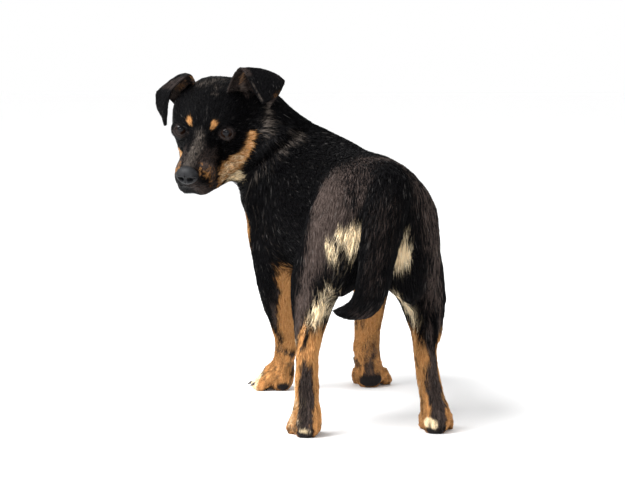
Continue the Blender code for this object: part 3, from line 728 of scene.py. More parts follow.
for side, shape in EYE_SHAPES.items():
    local, share = round_opening(side, shape, skin_points)
    ring = (local[:, 2] > 0) * smoothstep(0.95, 1.15, share) * (1 - smoothstep(1.25, 1.50, share))
    masks["brown"] = np.maximum(masks["brown"], ring * (0.12 + 0.33 * (local[:, 1] < 0)))
print("head marked:", int((masks["tan"] > 0.5).sum()), "points tan")

# %% Markings of the trunk and the legs
HOCKS = ["shank_left", "shank_right", "hock_left", "hock_right"]
FEET = ["hind_paw_left", "hind_paw_right", "fore_paw_left", "fore_paw_right"]
below(0.112, 0.008, HOCKS)
below(0.060, 0.004, FEET)
below(0.158, 0.008, ["forearm_left", "forearm_right", "upper_arm_left", "upper_arm_right"])

# buttocks beside the tail, then the pale strip down the inside of each thigh
mark(
    "cream", "skin",
    [
        (0.0165, 0.1655, 0.2215), (0.0215, 0.1662, 0.2125), (0.0275, 0.1650, 0.2065),
        (0.0350, 0.1608, 0.2022), (0.0420, 0.1565, 0.1980),
    ],
    (0.0045, 0.0084, 0.0088, 0.0080, 0.0060), soft=0.0012, rag=0.0012,
)
mark(
    "cream", "skin", [(0.0140, 0.1690, 0.2110), (0.0190, 0.1680, 0.2060)], (0.0060, 0.0050),
    soft=0.0014, rag=0.0016,
)
mark(
    "cream", "skin",
    [
        (0.0200, 0.1690, 0.1960), (0.0270, 0.1660, 0.1880), (0.0325, 0.1626, 0.1765),
        (0.0355, 0.1546, 0.1612), (0.0397, 0.1405, 0.1503),
    ],
    (0.0036, 0.0040, 0.0050, 0.0064, 0.0070), soft=0.0020, rag=0.0024, share=0.95,
)
mark(
    "tan", "skin", [(0.0512, 0.1331, 0.1296), (0.0570, 0.1400, 0.1210), (0.0650, 0.1430, 0.1130)],
    (0.0060, 0.0090, 0.0090), soft=0.006, rag=0.005, share=0.55,
)
mark(
    "cream", "skin",
    [
        (0.0390, 0.1430, 0.1510), (0.0467, 0.1322, 0.1389), (0.0512, 0.1331, 0.1296),
        (0.0570, 0.1400, 0.1210),
    ],
    (0.0066, 0.0090, 0.0090, 0.0070), soft=0.005, rag=0.004, share=0.75,
)
mark(
    "cream", "skin",
    [
        (-0.0215, 0.1728, 0.2140), (-0.0255, 0.1716, 0.2060), (-0.0290, 0.1709, 0.1960),
        (-0.0335, 0.1692, 0.1850), (-0.0362, 0.1680, 0.1780),
    ],
    (0.0030, 0.0046, 0.0068, 0.0070, 0.0032), soft=0.0012, rag=0.0014,
)
mark(
    "cream", "skin",
    [
        (-0.0308, 0.1555, 0.1559), (-0.0400, 0.1200, 0.1440), (-0.0515, 0.0902, 0.1354),
        (-0.0572, 0.1093, 0.1245), (-0.0597, 0.1278, 0.1180),
    ],
    (0.0040, 0.0062, 0.0072, 0.0080, 0.0060), soft=0.003, rag=0.004, share=0.9,
)
mark(
    "cream", "skin",
    [
        (-0.0262, 0.1600, 0.1640), (-0.0290, 0.1520, 0.1500), (-0.0360, 0.1420, 0.1400),
        (-0.0500, 0.1200, 0.1260), (-0.0560, 0.1340, 0.1150),
    ],
    (0.0040, 0.0052, 0.0056, 0.0068, 0.0060), soft=0.0020, rag=0.003, share=0.85,
)
mark(
    "tan", "trunk", [(0.0170, 0.1671, 0.2225), (0.0222, 0.1683, 0.2150)], (0.0042, 0.0042), soft=0.0016,
    rag=0.0014,
)
mark(
    "cream", "trunk", [(0.0150, 0.1671, 0.2240), (0.0215, 0.1683, 0.2160)], (0.0040, 0.0036),
    soft=0.0020, rag=0.0014, share=0.8, clear=True,
)
for sign in SIDES.values():
    mark(
        "cream", "trunk", [(sign * 0.030, 0.090, 0.140), (sign * 0.040, 0.120, 0.132)], (0.014, 0.012),
        soft=0.005, rag=0.004,
    )

# hind legs: black behind the hock and down the back of the foot
mark(
    "tan", "trunk", [(0.0640, 0.1490, 0.1120), (0.0715, 0.1560, 0.0925)], (0.0062, 0.0040), soft=0.0020,
    rag=0.003, clear=True,
)
mark(
    "tan", "trunk", [(0.0760, 0.0900, 0.1250), (0.0790, 0.1180, 0.1080), (0.0780, 0.1400, 0.0980)],
    (0.016, 0.010, 0.005), soft=0.004, rag=0.004, clear=True,
)
mark(
    "tan", "skin",
    [
        (0.0698, 0.1558, 0.0860), (0.0686, 0.1611, 0.0749), (0.0684, 0.1598, 0.0580),
        (0.0683, 0.1593, 0.0411), (0.0687, 0.1616, 0.0247), (0.0700, 0.1605, 0.0060),
    ],
    (0.0040, 0.0072, 0.0088, 0.0088, 0.0080, 0.0100), soft=0.0022, rag=0.0030, clear=True,
)
mark(
    "cream", "trunk", [(0.0690, 0.1600, 0.0065), (0.0730, 0.1600, 0.0065)], (0.0028, 0.0028),
    soft=0.003, rag=0.003, share=0.8,
)
mark(
    "tan", "trunk", [(-0.0615, 0.1520, 0.1065), (-0.0740, 0.1500, 0.1110)], (0.0070, 0.0080),
    soft=0.0025, rag=0.003, clear=True,
)
mark(
    "tan", "trunk", [(-0.0880, 0.1000, 0.1280), (-0.0840, 0.1300, 0.1150)], (0.014, 0.009), soft=0.004,
    rag=0.004, clear=True,
)
mark(
    "tan", "skin",
    [
        (-0.0700, 0.1400, 0.1150), (-0.0679, 0.1442, 0.1060), (-0.0630, 0.1590, 0.0885),
        (-0.0654, 0.1609, 0.0673), (-0.0701, 0.1596, 0.0479), (-0.0721, 0.1604, 0.0331),
        (-0.0718, 0.1624, 0.0164), (-0.0715, 0.1600, 0.0050),
    ],
    (0.0140, 0.0110, 0.0068, 0.0086, 0.0098, 0.0096, 0.0084, 0.0110), soft=0.0022, rag=0.0030,
    clear=True,
)
mark(
    "cream", "trunk", [(-0.0625, 0.1590, 0.0128), (-0.0665, 0.1610, 0.0110)], (0.0066, 0.0056),
    soft=0.0012, rag=0.001,
)
mark(
    "cream", "trunk", [(-0.0950, 0.1230, 0.0080), (-0.0900, 0.1180, 0.0080)], (0.0070, 0.0070),
    soft=0.003, rag=0.002, share=0.85,
)

# fore legs: black down the outer side, dark pads, pale toes
mark(
    "tan", "trunk",
    [
        (0.0770, -0.0880, 0.1620), (0.0758, -0.0901, 0.1543), (0.0730, -0.0965, 0.1338),
        (0.0670, -0.1130, 0.1083), (0.0600, -0.1270, 0.0880), (0.0560, -0.1320, 0.0780),
    ],
    (0.0190, 0.0160, 0.0140, 0.0120, 0.0085, 0.0050), soft=0.0030, rag=0.003, clear=True,
)
mark(
    "tan", "trunk",
    [(0.084, -0.115, 0.160), (0.082, -0.125, 0.125), (0.072, -0.142, 0.092), (0.066, -0.152, 0.074)],
    (0.020, 0.016, 0.010, 0.004), soft=0.0030, rag=0.004, clear=True,
)
mark(
    "tan", "trunk", [(-0.078, -0.100, 0.160), (-0.078, -0.120, 0.125), (-0.076, -0.140, 0.095)],
    (0.020, 0.016, 0.008), soft=0.0030, rag=0.004, clear=True,
)
for place, radius in (
    ((0.0473, -0.1347, 0.0636), 0.0035), ((0.0335, -0.1412, 0.0444), 0.0045),
    ((0.0325, -0.1473, 0.0250), 0.0050), ((-0.0475, -0.1744, 0.0204), 0.0025),
):
    mark(
        "tan", "trunk", [place, tuple(Vector(place) + Vector((0, 0.001, -0.004)))], (radius, radius),
        soft=0.002, rag=0.002, share=0.85, clear=True,
    )
mark(
    "cream", "skin", [(0.0830, -0.1640, 0.0070), (0.0760, -0.1700, 0.0100), (0.0740, -0.1800, 0.0090)],
    (0.0150, 0.0150, 0.0130), soft=0.004, rag=0.002, share=1.0,
)
mark(
    "bare", "trunk", [(0.0470, -0.1420, 0.0035), (0.0420, -0.1440, 0.0035)], (0.0075, 0.0075),
    soft=0.0015, rag=0.0005,
)
mark(
    "bare", "trunk", [(-0.0597, -0.1375, 0.0560), (-0.0597, -0.1375, 0.0530)], (0.0042, 0.0042),
    soft=0.0012, rag=0.0005,
)
mark(
    "tan", "trunk",
    [(-0.0597, -0.1410, 0.0360), (-0.0603, -0.1455, 0.0256), (-0.0620, -0.1500, 0.0100)],
    (0.0025, 0.0060, 0.0105), soft=0.003, rag=0.003, share=0.8, clear=True,
)
mark(
    "bare", "trunk", [(-0.0540, -0.1490, 0.0080), (-0.0710, -0.1480, 0.0080)], (0.0088, 0.0088),
    soft=0.0015, rag=0.0005,
)
mark(
    "bare", "trunk", [(0.0650, 0.1560, 0.0020), (0.0760, 0.1560, 0.0020)], (0.0048, 0.0048),
    soft=0.0015, rag=0.0005,
)
mark(
    "bare", "trunk", [(-0.0640, 0.1560, 0.0020), (-0.0750, 0.1540, 0.0020)], (0.0048, 0.0048),
    soft=0.0015, rag=0.0005,
)

inner_thigh = (trunk_points[:, 2] < 0.168) & (trunk_points[:, 2] > 0.10) & (trunk_points[:, 1] > 0.05)
masks["cream"] *= np.where(
    inner_thigh, 0.15 + 0.85 * smoothstep(-0.9, 0.7, fine_streak + 0.5 * broad_streak), 1,
)
for line in (
    [
        (0.0698, 0.1558, 0.0860), (0.0684, 0.1598, 0.0580), (0.0683, 0.1593, 0.0411),
        (0.0695, 0.1610, 0.0150),
    ],
    [
        (-0.0610, 0.1605, 0.0885), (-0.0654, 0.1609, 0.0673), (-0.0721, 0.1604, 0.0331),
        (-0.0718, 0.1624, 0.0164),
    ],
):
    mark("brown", "trunk", line, (0.012, 0.013, 0.013, 0.012), soft=0.003, rag=0.003, share=0.62)
mark(
    "brown", "trunk", [(0.066, 0.120, 0.140), (0.072, 0.120, 0.118), (0.072, 0.135, 0.100)],
    (0.018, 0.016, 0.010), soft=0.008, rag=0.006, share=0.8,
)
mark(
    "tan", "trunk", [(-0.0597, -0.1337, 0.0600), (-0.0597, -0.1400, 0.0300)], (0.0060, 0.0110),
    soft=0.006, rag=0.004, share=0.45, clear=True,
)
mark(
    "brown", "trunk", [(-0.0597, -0.1337, 0.0700), (-0.0620, -0.1450, 0.0200)], (0.012, 0.016),
    soft=0.006, rag=0.004, share=0.8,
)
mottled = smoothstep(0.05, 0.65, noise_at(skin_points, 0.010, 8) + 0.7 * noise_at(skin_points, 0.0035, 9))
on_legs = 1 - smoothstep(0.120, 0.150, trunk_points[:, 2])
masks["tan"] *= 1 - 0.62 * mottled * on_legs
masks["brown"] = np.maximum(masks["brown"], 0.8 * mottled * on_legs)

# chest front, and the greyer and browner tints of the black; the brown on the left rump and thigh is
# partly painted light, the tail's brown is a painted sheen, and the neck crease is wiped to black as painted
# shade
for sign in SIDES.values():
    mark(
        "tan", "trunk", [(sign * 0.052, -0.190, 0.212), (sign * 0.060, -0.180, 0.186)], (0.012, 0.014),
        soft=0.004, rag=0.004,
    )
mark(
    "tan", "trunk", [(0.0868, -0.1500, 0.2080), (0.0862, -0.1520, 0.1930), (0.0850, -0.1470, 0.1790)],
    (0.0075, 0.0095, 0.0060), soft=0.003, rag=0.003,
)
mark(
    "grey", "trunk",
    [
        (0.036, -0.080, 0.3075), (0.0571, -0.0764, 0.2890), (0.0726, -0.0818, 0.2705),
        (0.0881, -0.1036, 0.2557),
    ],
    (0.002, 0.0034, 0.0036, 0.0016), soft=0.0035, rag=0.005, share=0.85,
)
mark(
    "grey", "trunk", [(0.0655, -0.1100, 0.3350), (0.0696, -0.1014, 0.3227), (0.0720, -0.0928, 0.3045)],
    (0.004, 0.0050, 0.004), soft=0.005, rag=0.006, share=0.55,
)
# browner on the left rump and thigh: partly the coat's own brown, partly painted light where the light falls
# from the left
mark(
    "brown", "trunk", [(0.036, 0.100, 0.265), (0.038, 0.140, 0.232), (0.046, 0.140, 0.205)],
    (0.019, 0.028, 0.028), soft=0.022, rag=0.008, share=1.0,
)
mark(
    "brown", "trunk", [(0.050, 0.140, 0.200), (0.058, 0.122, 0.165), (0.064, 0.115, 0.140)],
    (0.024, 0.018, 0.013), soft=0.018, rag=0.008, share=0.80,
)
mark(
    "brown", "trunk", [(0.010, 0.120, 0.290), (-0.030, 0.130, 0.275), (0.012, 0.165, 0.260)],
    (0.026, 0.028, 0.020), soft=0.014, rag=0.008, share=0.46,
)
mark(
    "brown", "trunk", [(-0.055, 0.135, 0.245), (-0.070, 0.135, 0.200), (-0.080, 0.130, 0.150)],
    (0.034, 0.032, 0.024), soft=0.016, rag=0.008, share=0.50,
)
# a faint brown tint down the tail: painted sheen
mark(
    "brown", "trunk", [(-0.008, 0.200, 0.240), (0.004, 0.222, 0.205), (0.010, 0.218, 0.165)],
    (0.022, 0.020, 0.018), soft=0.010, rag=0.004, share=0.24,
)
mark(
    "grey", "trunk", [(0.082, -0.120, 0.225), (0.076, -0.080, 0.205), (0.072, -0.060, 0.180)],
    (0.016, 0.024, 0.018), soft=0.016, rag=0.004, share=0.13,
)
mark(
    "grey", "trunk", [(-0.040, 0.100, 0.280), (-0.062, 0.140, 0.220), (-0.070, 0.140, 0.170)],
    (0.022, 0.024, 0.018), soft=0.016, rag=0.004, share=0.10,
)
mark(
    "cream", "trunk", [(0.074, 0.120, 0.085), (0.074, 0.140, 0.050), (0.074, 0.140, 0.020)],
    (0.016, 0.014, 0.014), soft=0.008, rag=0.004, share=0.44,
)
mark(
    "cream", "trunk", [(-0.050, 0.130, 0.085), (-0.054, 0.145, 0.050), (-0.054, 0.140, 0.020)],
    (0.014, 0.012, 0.012), soft=0.008, rag=0.004, share=0.22,
)

# grey and brown wiped from the neck crease so that it shows black: painted shade in the fold
for name in ("grey", "brown"):
    mark(
        name, "skin",
        [
            (0.0227, -0.1228, 0.3231), (0.0385, -0.0907, 0.3113), (0.0524, -0.0844, 0.2967),
            (0.0647, -0.0798, 0.2820), (0.0734, -0.0838, 0.2681), (0.0785, -0.0888, 0.2564),
        ],
        (0.0024,) * 6, soft=0.0012, rag=0.0006, share=1.0, clear=True,
    )

# ears: a tan rear margin, and thin brown skin on the inner face
EAR_LINES = {"left": HEAD_STREAMS[-2], "right": HEAD_STREAMS[-1]}
head_normals = normals_of(skin) @ np.array(HEAD_SPIN)
inner_ear = np.zeros(len(skin_points))
for side, line in EAR_LINES.items():
    on_ear = skin_part == FLESH.index(f"ear_{side}")
    _, along = along_line(head_points, line)
    standing = (along < 0.52) & (-head_normals[:, 1] > 0.15)
    folded = (along >= 0.52) & (head_normals @ np.array((0, 0.95, -0.30)) > 0.15)
    inner_ear = np.maximum(inner_ear, on_ear & (standing | folded))
inner_ear = blurred(inner_ear, skin_edges, 8)
masks["brown"] = np.maximum(masks["brown"], inner_ear * 0.32)
for line in (
    [
        (0.0401, 0.0425, 0.0545), (0.0363, 0.0446, 0.0430), (0.0387, 0.0464, 0.0334),
        (0.0422, 0.0491, 0.0234),
    ],
    [(-0.0375, 0.0568, 0.0307), (-0.0454, 0.0566, 0.0237), (-0.0502, 0.0507, 0.0171)],
):
    mark("brown", "head", line, (0.0040,) * len(line), soft=0.003, rag=0.002, share=1.0)
    mark("grey", "head", line, (0.0026,) * len(line), soft=0.003, rag=0.003, share=0.40)
    mark("tan", "head", line[:2], (0.0022, 0.0022), soft=0.003, rag=0.003, share=0.35)
mark(
    "tan", "head", [(0.0850, 0.0335, 0.0370), (0.0800, 0.0280, 0.0345)], (0.0030, 0.0030), soft=0.0025,
    rag=0.002, share=0.22,
)
mark(
    "tan", "head", [(-0.0211, 0.0431, 0.0448), (-0.0199, 0.0500, 0.0400)], (0.0030, 0.0030), soft=0.003,
    rag=0.003, share=0.35,
)
mark(
    "grey", "head", [(0.0560, 0.0240, 0.0543), (0.0626, 0.0194, 0.0443), (0.0687, 0.0167, 0.0359)],
    (0.0008, 0.0010, 0.0010), soft=0.0008, rag=0.0004, share=0.55,
)
for name in masks:
    masks[name] = np.clip(masks[name], 0, 1)
print("painted:", {name: int((mask > 0.5).sum()) for name, mask in masks.items()})

# %% [markdown]
# ## The skin under the coat
# The solids reach the tips of the coat, so the skin has to lie deeper, by the depth of the coat at
# each place. Every point moves in along its normal. Where the head turns back, the loose skin of the
# neck folds into one deep crease, pressed in as a groove with a roll of skin beside it.

# %% Sink the skin and fold the neck
CREASE = [
    (0.0237, -0.1080, 0.3220), (0.0257, -0.1050, 0.3189), (0.0398, -0.0900, 0.3114),
    (0.0584, -0.0827, 0.2968), (0.0751, -0.0878, 0.2829), (0.0850, -0.0985, 0.2740),
    (0.0940, -0.1150, 0.2640),
]
bare_edge = np.maximum.reduce([masks["bare"], inner_ear * 0.6])
socket = np.zeros(len(skin_points))
for side in SIDES:
    away = np.linalg.norm(skin_points - np.array(EYE_PLACES[side]), axis=1)
    socket = np.maximum(socket, 1 - smoothstep(0.0125, 0.0165, away))
sink = coat_depth * SINK * (1 - 0.85 * bare_edge) * (1 - 0.9 * socket)
normals = normals_of(skin)
sunk = skin_points - normals * sink[:, None]
away, along = along_line(trunk_points, CREASE)
fades = smoothstep(0.0, 0.12, along) * (1 - smoothstep(0.86, 1.0, along))
headward = Vector((0.62, -0.55, 0.55)).normalized()
line_points = np.array(CREASE)
nearest = np.stack([np.interp(along, np.linspace(0, 1, len(CREASE)), line_points[:, i]) for i in range(3)], 1)
beyond = (trunk_points - nearest) @ np.array(headward)
groove = np.exp(-((away / 0.0030) ** 2)) * fades
roll = np.exp(-(((away - 0.009) / 0.006) ** 2)) * fades * smoothstep(-0.002, 0.004, beyond)
sunk += normals * (0.0036 * roll - 0.0080 * groove)[:, None]
sunk += normals * (0.20 * np.clip(streak, -2, 2) * coat_depth * (1 - 0.6 * face_share(skin_points)))[:, None]
sunk = blurred(sunk, skin_edges, 2, 0.5 * (1 - np.maximum(face_share(sunk), 0.7 * foot_share(sunk))))
sunk[:, 2] = np.where(skin_points[:, 2] < 0.0012, np.maximum(skin_points[:, 2], 0.0003), sunk[:, 2])
sunk[:, 2] = np.maximum(sunk[:, 2], 0.0003)
move_points(skin, sunk)
skin.data.shade_smooth()
print("skin sunk by up to", round(float(sink.max()), 4), "m")

# %% [markdown]
# ## Colours of the coat
# The colour is worked out once, in a node group that the skin and every coat piece share. It reads
# the masks that each point carries and mixes black, brown, grizzled grey, tan and cream in that
# order, then scales it darker and paler along the combed streaks: painted shade and painted
# highlight of the locks. A tuft is darker at its root and paler at its tip, and no two tufts have
# quite one tone.

# %% The shared colour group
PELT = {
    "black": (0.0007, 0.00065, 0.0009),
    "black tips": (0.0036, 0.0034, 0.0041),
    "brown": (0.034, 0.0245, 0.0215),
    "brown tips": (0.118, 0.088, 0.076),
    "grey": (0.055, 0.044, 0.037),
    "grey tips": (0.210, 0.180, 0.155),
    "tan": (0.300, 0.130, 0.042),
    "tan tips": (0.660, 0.370, 0.145),
    "cream": (0.740, 0.560, 0.330),
    "cream tips": (0.950, 0.850, 0.640),
    "bare": (0.012, 0.010, 0.010),
    "pale hair": (0.110, 0.103, 0.098),
}
PALE_FROM = 0.975  # tufts with a tone above this are stray pale hairs
# painted shade and painted highlight: how far the combed streaks darken and lighten the colour
STREAK_PAINTED_LIGHT = (0.38, 1.70)  # how much the combed streaks darken and lighten the coat


def feed(tree, socket, value):
    """Links a socket to another one, or gives it a plain value."""
    if isinstance(value, bpy.types.NodeSocket):
        tree.links.new(value, socket)
    elif isinstance(value, tuple) and len(value) == 3 and socket.type == "RGBA":
        socket.default_value = (*value, 1)
    elif value is not None:
        socket.default_value = value


def linked(tree, node, **values):
    for name, value in values.items():
        feed(tree, node.inputs[name.replace("_", " ")], value)
    return node


def add_node(tree, kind, settings=(), **values):
    node = tree.nodes.new(kind)
    for name, value in dict(settings).items():
        setattr(node, name, value)
    return linked(tree, node, **values)


def mixed(tree, factor, first, second, blend="MIX"):
    node = tree.nodes.new("ShaderNodeMix")
    node.data_type = "RGBA"
    node.blend_type = blend
    for number, value in ((0, factor), (6, first), (7, second)):
        feed(tree, node.inputs[number], value)
    return node.outputs[2]


def sums(tree, operation, first, second, third=None):
    node = tree.nodes.new("ShaderNodeMath")
    node.operation = operation
    for socket, value in zip(node.inputs, (first, second, third)):
        feed(tree, socket, value)
    return node.outputs[0]


def make_pelt_group():
    tree = bpy.data.node_groups.new("pelt colour", "ShaderNodeTree")
    face = tree.interface
    for name in ("Tan", "Cream", "Brown", "Grey", "Bare", "Tone", "Along", "Streak"):
        face.new_socket(name, in_out="INPUT", socket_type="NodeSocketFloat")
    face.new_socket("Color", in_out="OUTPUT", socket_type="NodeSocketColor")
    face.new_socket("Roughness", in_out="OUTPUT", socket_type="NodeSocketFloat")
    given = tree.nodes.new("NodeGroupInput").outputs
    tip = sums(tree, "MULTIPLY", given["Along"], given["Tone"])
    colour = mixed(tree, tip, PELT["black"], PELT["black tips"])
    for name in ("Brown", "Grey", "Tan", "Cream"):
        own = mixed(tree, tip, PELT[name.lower()], PELT[name.lower() + " tips"])
        colour = mixed(tree, given[name], colour, own)
    glint = sums(tree, "SUBTRACT", given["Tone"], PALE_FROM)
    glint = sums(tree, "MULTIPLY", glint, 1 / (1 - PALE_FROM))
    glint = add_node(tree, "ShaderNodeClamp", Value=sums(tree, "MULTIPLY", glint, given["Along"])).outputs[0]
    colour = mixed(tree, glint, colour, PELT["pale hair"], "LIGHTEN")
    # painted shade and painted highlight: the combed streaks scale the colour down and up
    shade = add_node(tree, "ShaderNodeMapRange", Value=given["Streak"], From_Min=-2.2, From_Max=2.2)
    shade.inputs["To Min"].default_value, shade.inputs["To Max"].default_value = STREAK_PAINTED_LIGHT
    lit = tree.nodes.new("ShaderNodeVectorMath")
    lit.operation = "SCALE"
    tree.links.new(colour, lit.inputs[0])
    tree.links.new(shade.outputs[0], lit.inputs["Scale"])
    colour = mixed(tree, given["Bare"], lit.outputs[0], PELT["bare"])
    rough = sums(tree, "MULTIPLY_ADD", given["Tone"], 0.18, 0.36)
    done = tree.nodes.new("NodeGroupOutput")
    tree.links.new(colour, done.inputs["Color"])
    tree.links.new(rough, done.inputs["Roughness"])
    return tree


pelt_group = make_pelt_group()


def new_material(name):
    made = bpy.data.materials.new(name)
    made.use_nodes = True
    shader = made.node_tree.nodes["Principled BSDF"]
    return made, made.node_tree, shader


def attribute(tree, name):
    return add_node(tree, "ShaderNodeAttribute", {"attribute_name": name}).outputs["Fac"]


def pelt_node(tree, tone, along):
    node = tree.nodes.new("ShaderNodeGroup")
    node.node_tree = pelt_group
    for name in ("Tan", "Cream", "Brown", "Grey", "Bare", "Streak"):
        tree.links.new(attribute(tree, name.lower()), node.inputs[name])
    return linked(tree, node, Tone=tone, Along=along)


def make_coat_material():
    made, tree, shader = new_material("coat hair")
    pelt = pelt_node(tree, attribute(tree, "tone"), attribute(tree, "along"))
    tree.links.new(pelt.outputs["Color"], shader.inputs["Base Color"])
    tree.links.new(pelt.outputs["Roughness"], shader.inputs["Roughness"])
    shader.inputs["Specular IOR Level"].default_value = 0.055
    return made


def make_skin_material():
    """Short hair seen as colour and bump where the tufts leave the skin bare between them."""
    made, tree, shader = new_material("skin")
    where = tree.nodes.new("ShaderNodeTexCoord").outputs["Object"]
    fine = add_node(tree, "ShaderNodeTexNoise", Vector=where, Scale=900.0, Detail=3.0, Roughness=0.6)
    broad = add_node(tree, "ShaderNodeTexNoise", Vector=where, Scale=90.0, Detail=2.0)
    tone = sums(tree, "MULTIPLY_ADD", broad.outputs["Fac"], 0.8, 0.1)
    along = sums(tree, "MULTIPLY", fine.outputs["Fac"], 0.6)
    pelt = pelt_node(tree, tone, along)
    tree.links.new(pelt.outputs["Color"], shader.inputs["Base Color"])
    tree.links.new(pelt.outputs["Roughness"], shader.inputs["Roughness"])
    shader.inputs["Specular IOR Level"].default_value = 0.04
    bump = add_node(tree, "ShaderNodeBump", Height=fine.outputs["Fac"], Strength=0.5, Distance=0.0004)
    tree.links.new(bump.outputs["Normal"], shader.inputs["Normal"])
    return made


coat_material = make_coat_material()
skin_material = make_skin_material()
skin.data.materials.clear()
skin.data.materials.append(skin_material)
for name, mask in masks.items():
    store(skin, name, mask)
store(skin, "streak", streak * (1 - 0.5 * face_share(skin_points)))
print("colours in the pelt group:", len(PELT))

# %% [markdown]
# ## Unwrap the skin
# Each tuft takes its patch of a colour map from the place where it is rooted, so the skin needs a
# flat layout of its own shape. A projection from many sides is enough here, since no pattern has to
# run unbroken across a seam.

# %% Lay the skin out flat
bpy.context.view_layer.objects.active = skin
skin.select_set(True)
skin.data.uv_layers.new(name="OFBake")
bpy.ops.object.mode_set(mode="EDIT")
bpy.ops.mesh.select_all(action="SELECT")
bpy.ops.uv.smart_project(angle_limit=math.radians(66), island_margin=0.001, area_weight=0.0)
bpy.ops.object.mode_set(mode="OBJECT")
print("islands laid out for", len(skin.data.loops), "corners")

# %% [markdown]
# ## Tufts of hair
# Hair strands are far too many to model one by one, and hair curves don't survive an export. A tuft
# stands for a dozen strands that cling together: a thin closed spike with a root, a belly and a
# point. Three of them, straight and bent to either side, are enough when each copy differs in
# length, breadth, turn and tone.

# %% Three tufts
TUFT_RINGS = ((0.0, 0.80, -0.25, 0.10), (0.45, 1.00, 0.28, 0.55))  # along, breadth, lowest, highest


def make_tuft(name, bend):
    bm = bmesh.new()
    rings = []
    for along, breadth, low, high in TUFT_RINGS:
        aside = bend * along * along
        rings.append(
            [
                bm.verts.new((along, aside + y * breadth / 2, z))
                for y, z in ((-1, low), (1, low), (0, high))
            ]
        )
    tip = bm.verts.new((1.0, bend, 0.85))
    root, belly = rings
    bm.faces.new(reversed(root))
    for a, b in ((0, 1), (1, 2), (2, 0)):
        bm.faces.new((root[a], root[b], belly[b], belly[a]))
        bm.faces.new((belly[a], belly[b], tip))
    bmesh.ops.triangulate(bm, faces=bm.faces)
    bmesh.ops.recalc_face_normals(bm, faces=bm.faces)
    mesh = bpy.data.meshes.new(name)
    bm.to_mesh(mesh)
    bm.free()
    made = bpy.data.objects.new(name, mesh)
    places = points_of(made)
    for key, values in (("along", places[:, 0]), ("aside", places[:, 1]), ("lift", places[:, 2])):
        store(made, key, values)
    mesh.shade_smooth()
    return made


tuft_shapes = bpy.data.collections.new("tuft shapes")
for number, bend in enumerate((0.0, 0.9, -0.9)):
    tuft_shapes.objects.link(make_tuft(f"tuft_{number}", bend))

# %% [markdown]
# ## The tree that grows the coat
# Geometry Nodes scatter points over the skin, more where the coat is crowded, and set a tuft on
# each, turned to the lie of the hair. On a round limb a straight tuft would cut through the flesh
# or stand off at its tip, so afterwards every point of every tuft drops to the nearest skin and
# rises again by its own height in the coat.

# %% Grow the coat
def group_socket(tree, name, kind, value=None):
    socket = tree.interface.new_socket(name, in_out="INPUT", socket_type=kind)
    if value is not None:
        socket.default_value = value
    return socket


def named(tree, name, kind="FLOAT"):
    node = tree.nodes.new("GeometryNodeInputNamedAttribute")
    node.data_type = kind
    node.inputs["Name"].default_value = name
    return node.outputs["Attribute"]


def spread(tree, low, high, seed, offset):
    """A random number for each tuft."""
    node = tree.nodes.new("FunctionNodeRandomValue")
    node.data_type = "FLOAT"
    node.inputs[2].default_value = low
    node.inputs[3].default_value = high
    tree.links.new(sums(tree, "ADD", seed, offset), node.inputs["Seed"])
    return node.outputs[1]


def vector_sum(tree, operation, first, second=None, scale=None):
    node = tree.nodes.new("ShaderNodeVectorMath")
    node.operation = operation
    tree.links.new(first, node.inputs[0])
    if second is not None:
        tree.links.new(second, node.inputs[1])
    if scale is not None:
        tree.links.new(scale, node.inputs["Scale"])
    return node.outputs["Value"] if operation == "DOT_PRODUCT" else node.outputs["Vector"]


def keep(tree, geometry, name, value, kind="FLOAT", domain="POINT"):
    node = tree.nodes.new("GeometryNodeStoreNamedAttribute")
    node.data_type, node.domain = kind, domain
    linked(tree, node, Geometry=geometry, Name=name, Value=value)
    return node.outputs["Geometry"]


COLOUR_PACKS = {"tans": ("tan", "cream", "brown"), "others": ("grey", "bare", "streak")}
UNDERLYING = 0.80  # share of its colour that a tuft takes from the skin it lies over
THRESHOLDS = (0.19, 0.81)  # below the lowest, a mask shows in no tuft
STEEPNESS = 3.0  # how sharply a tuft turns to one colour or the other at its threshold
PATCH = 0.003  # width of a tuft's place on the colour map


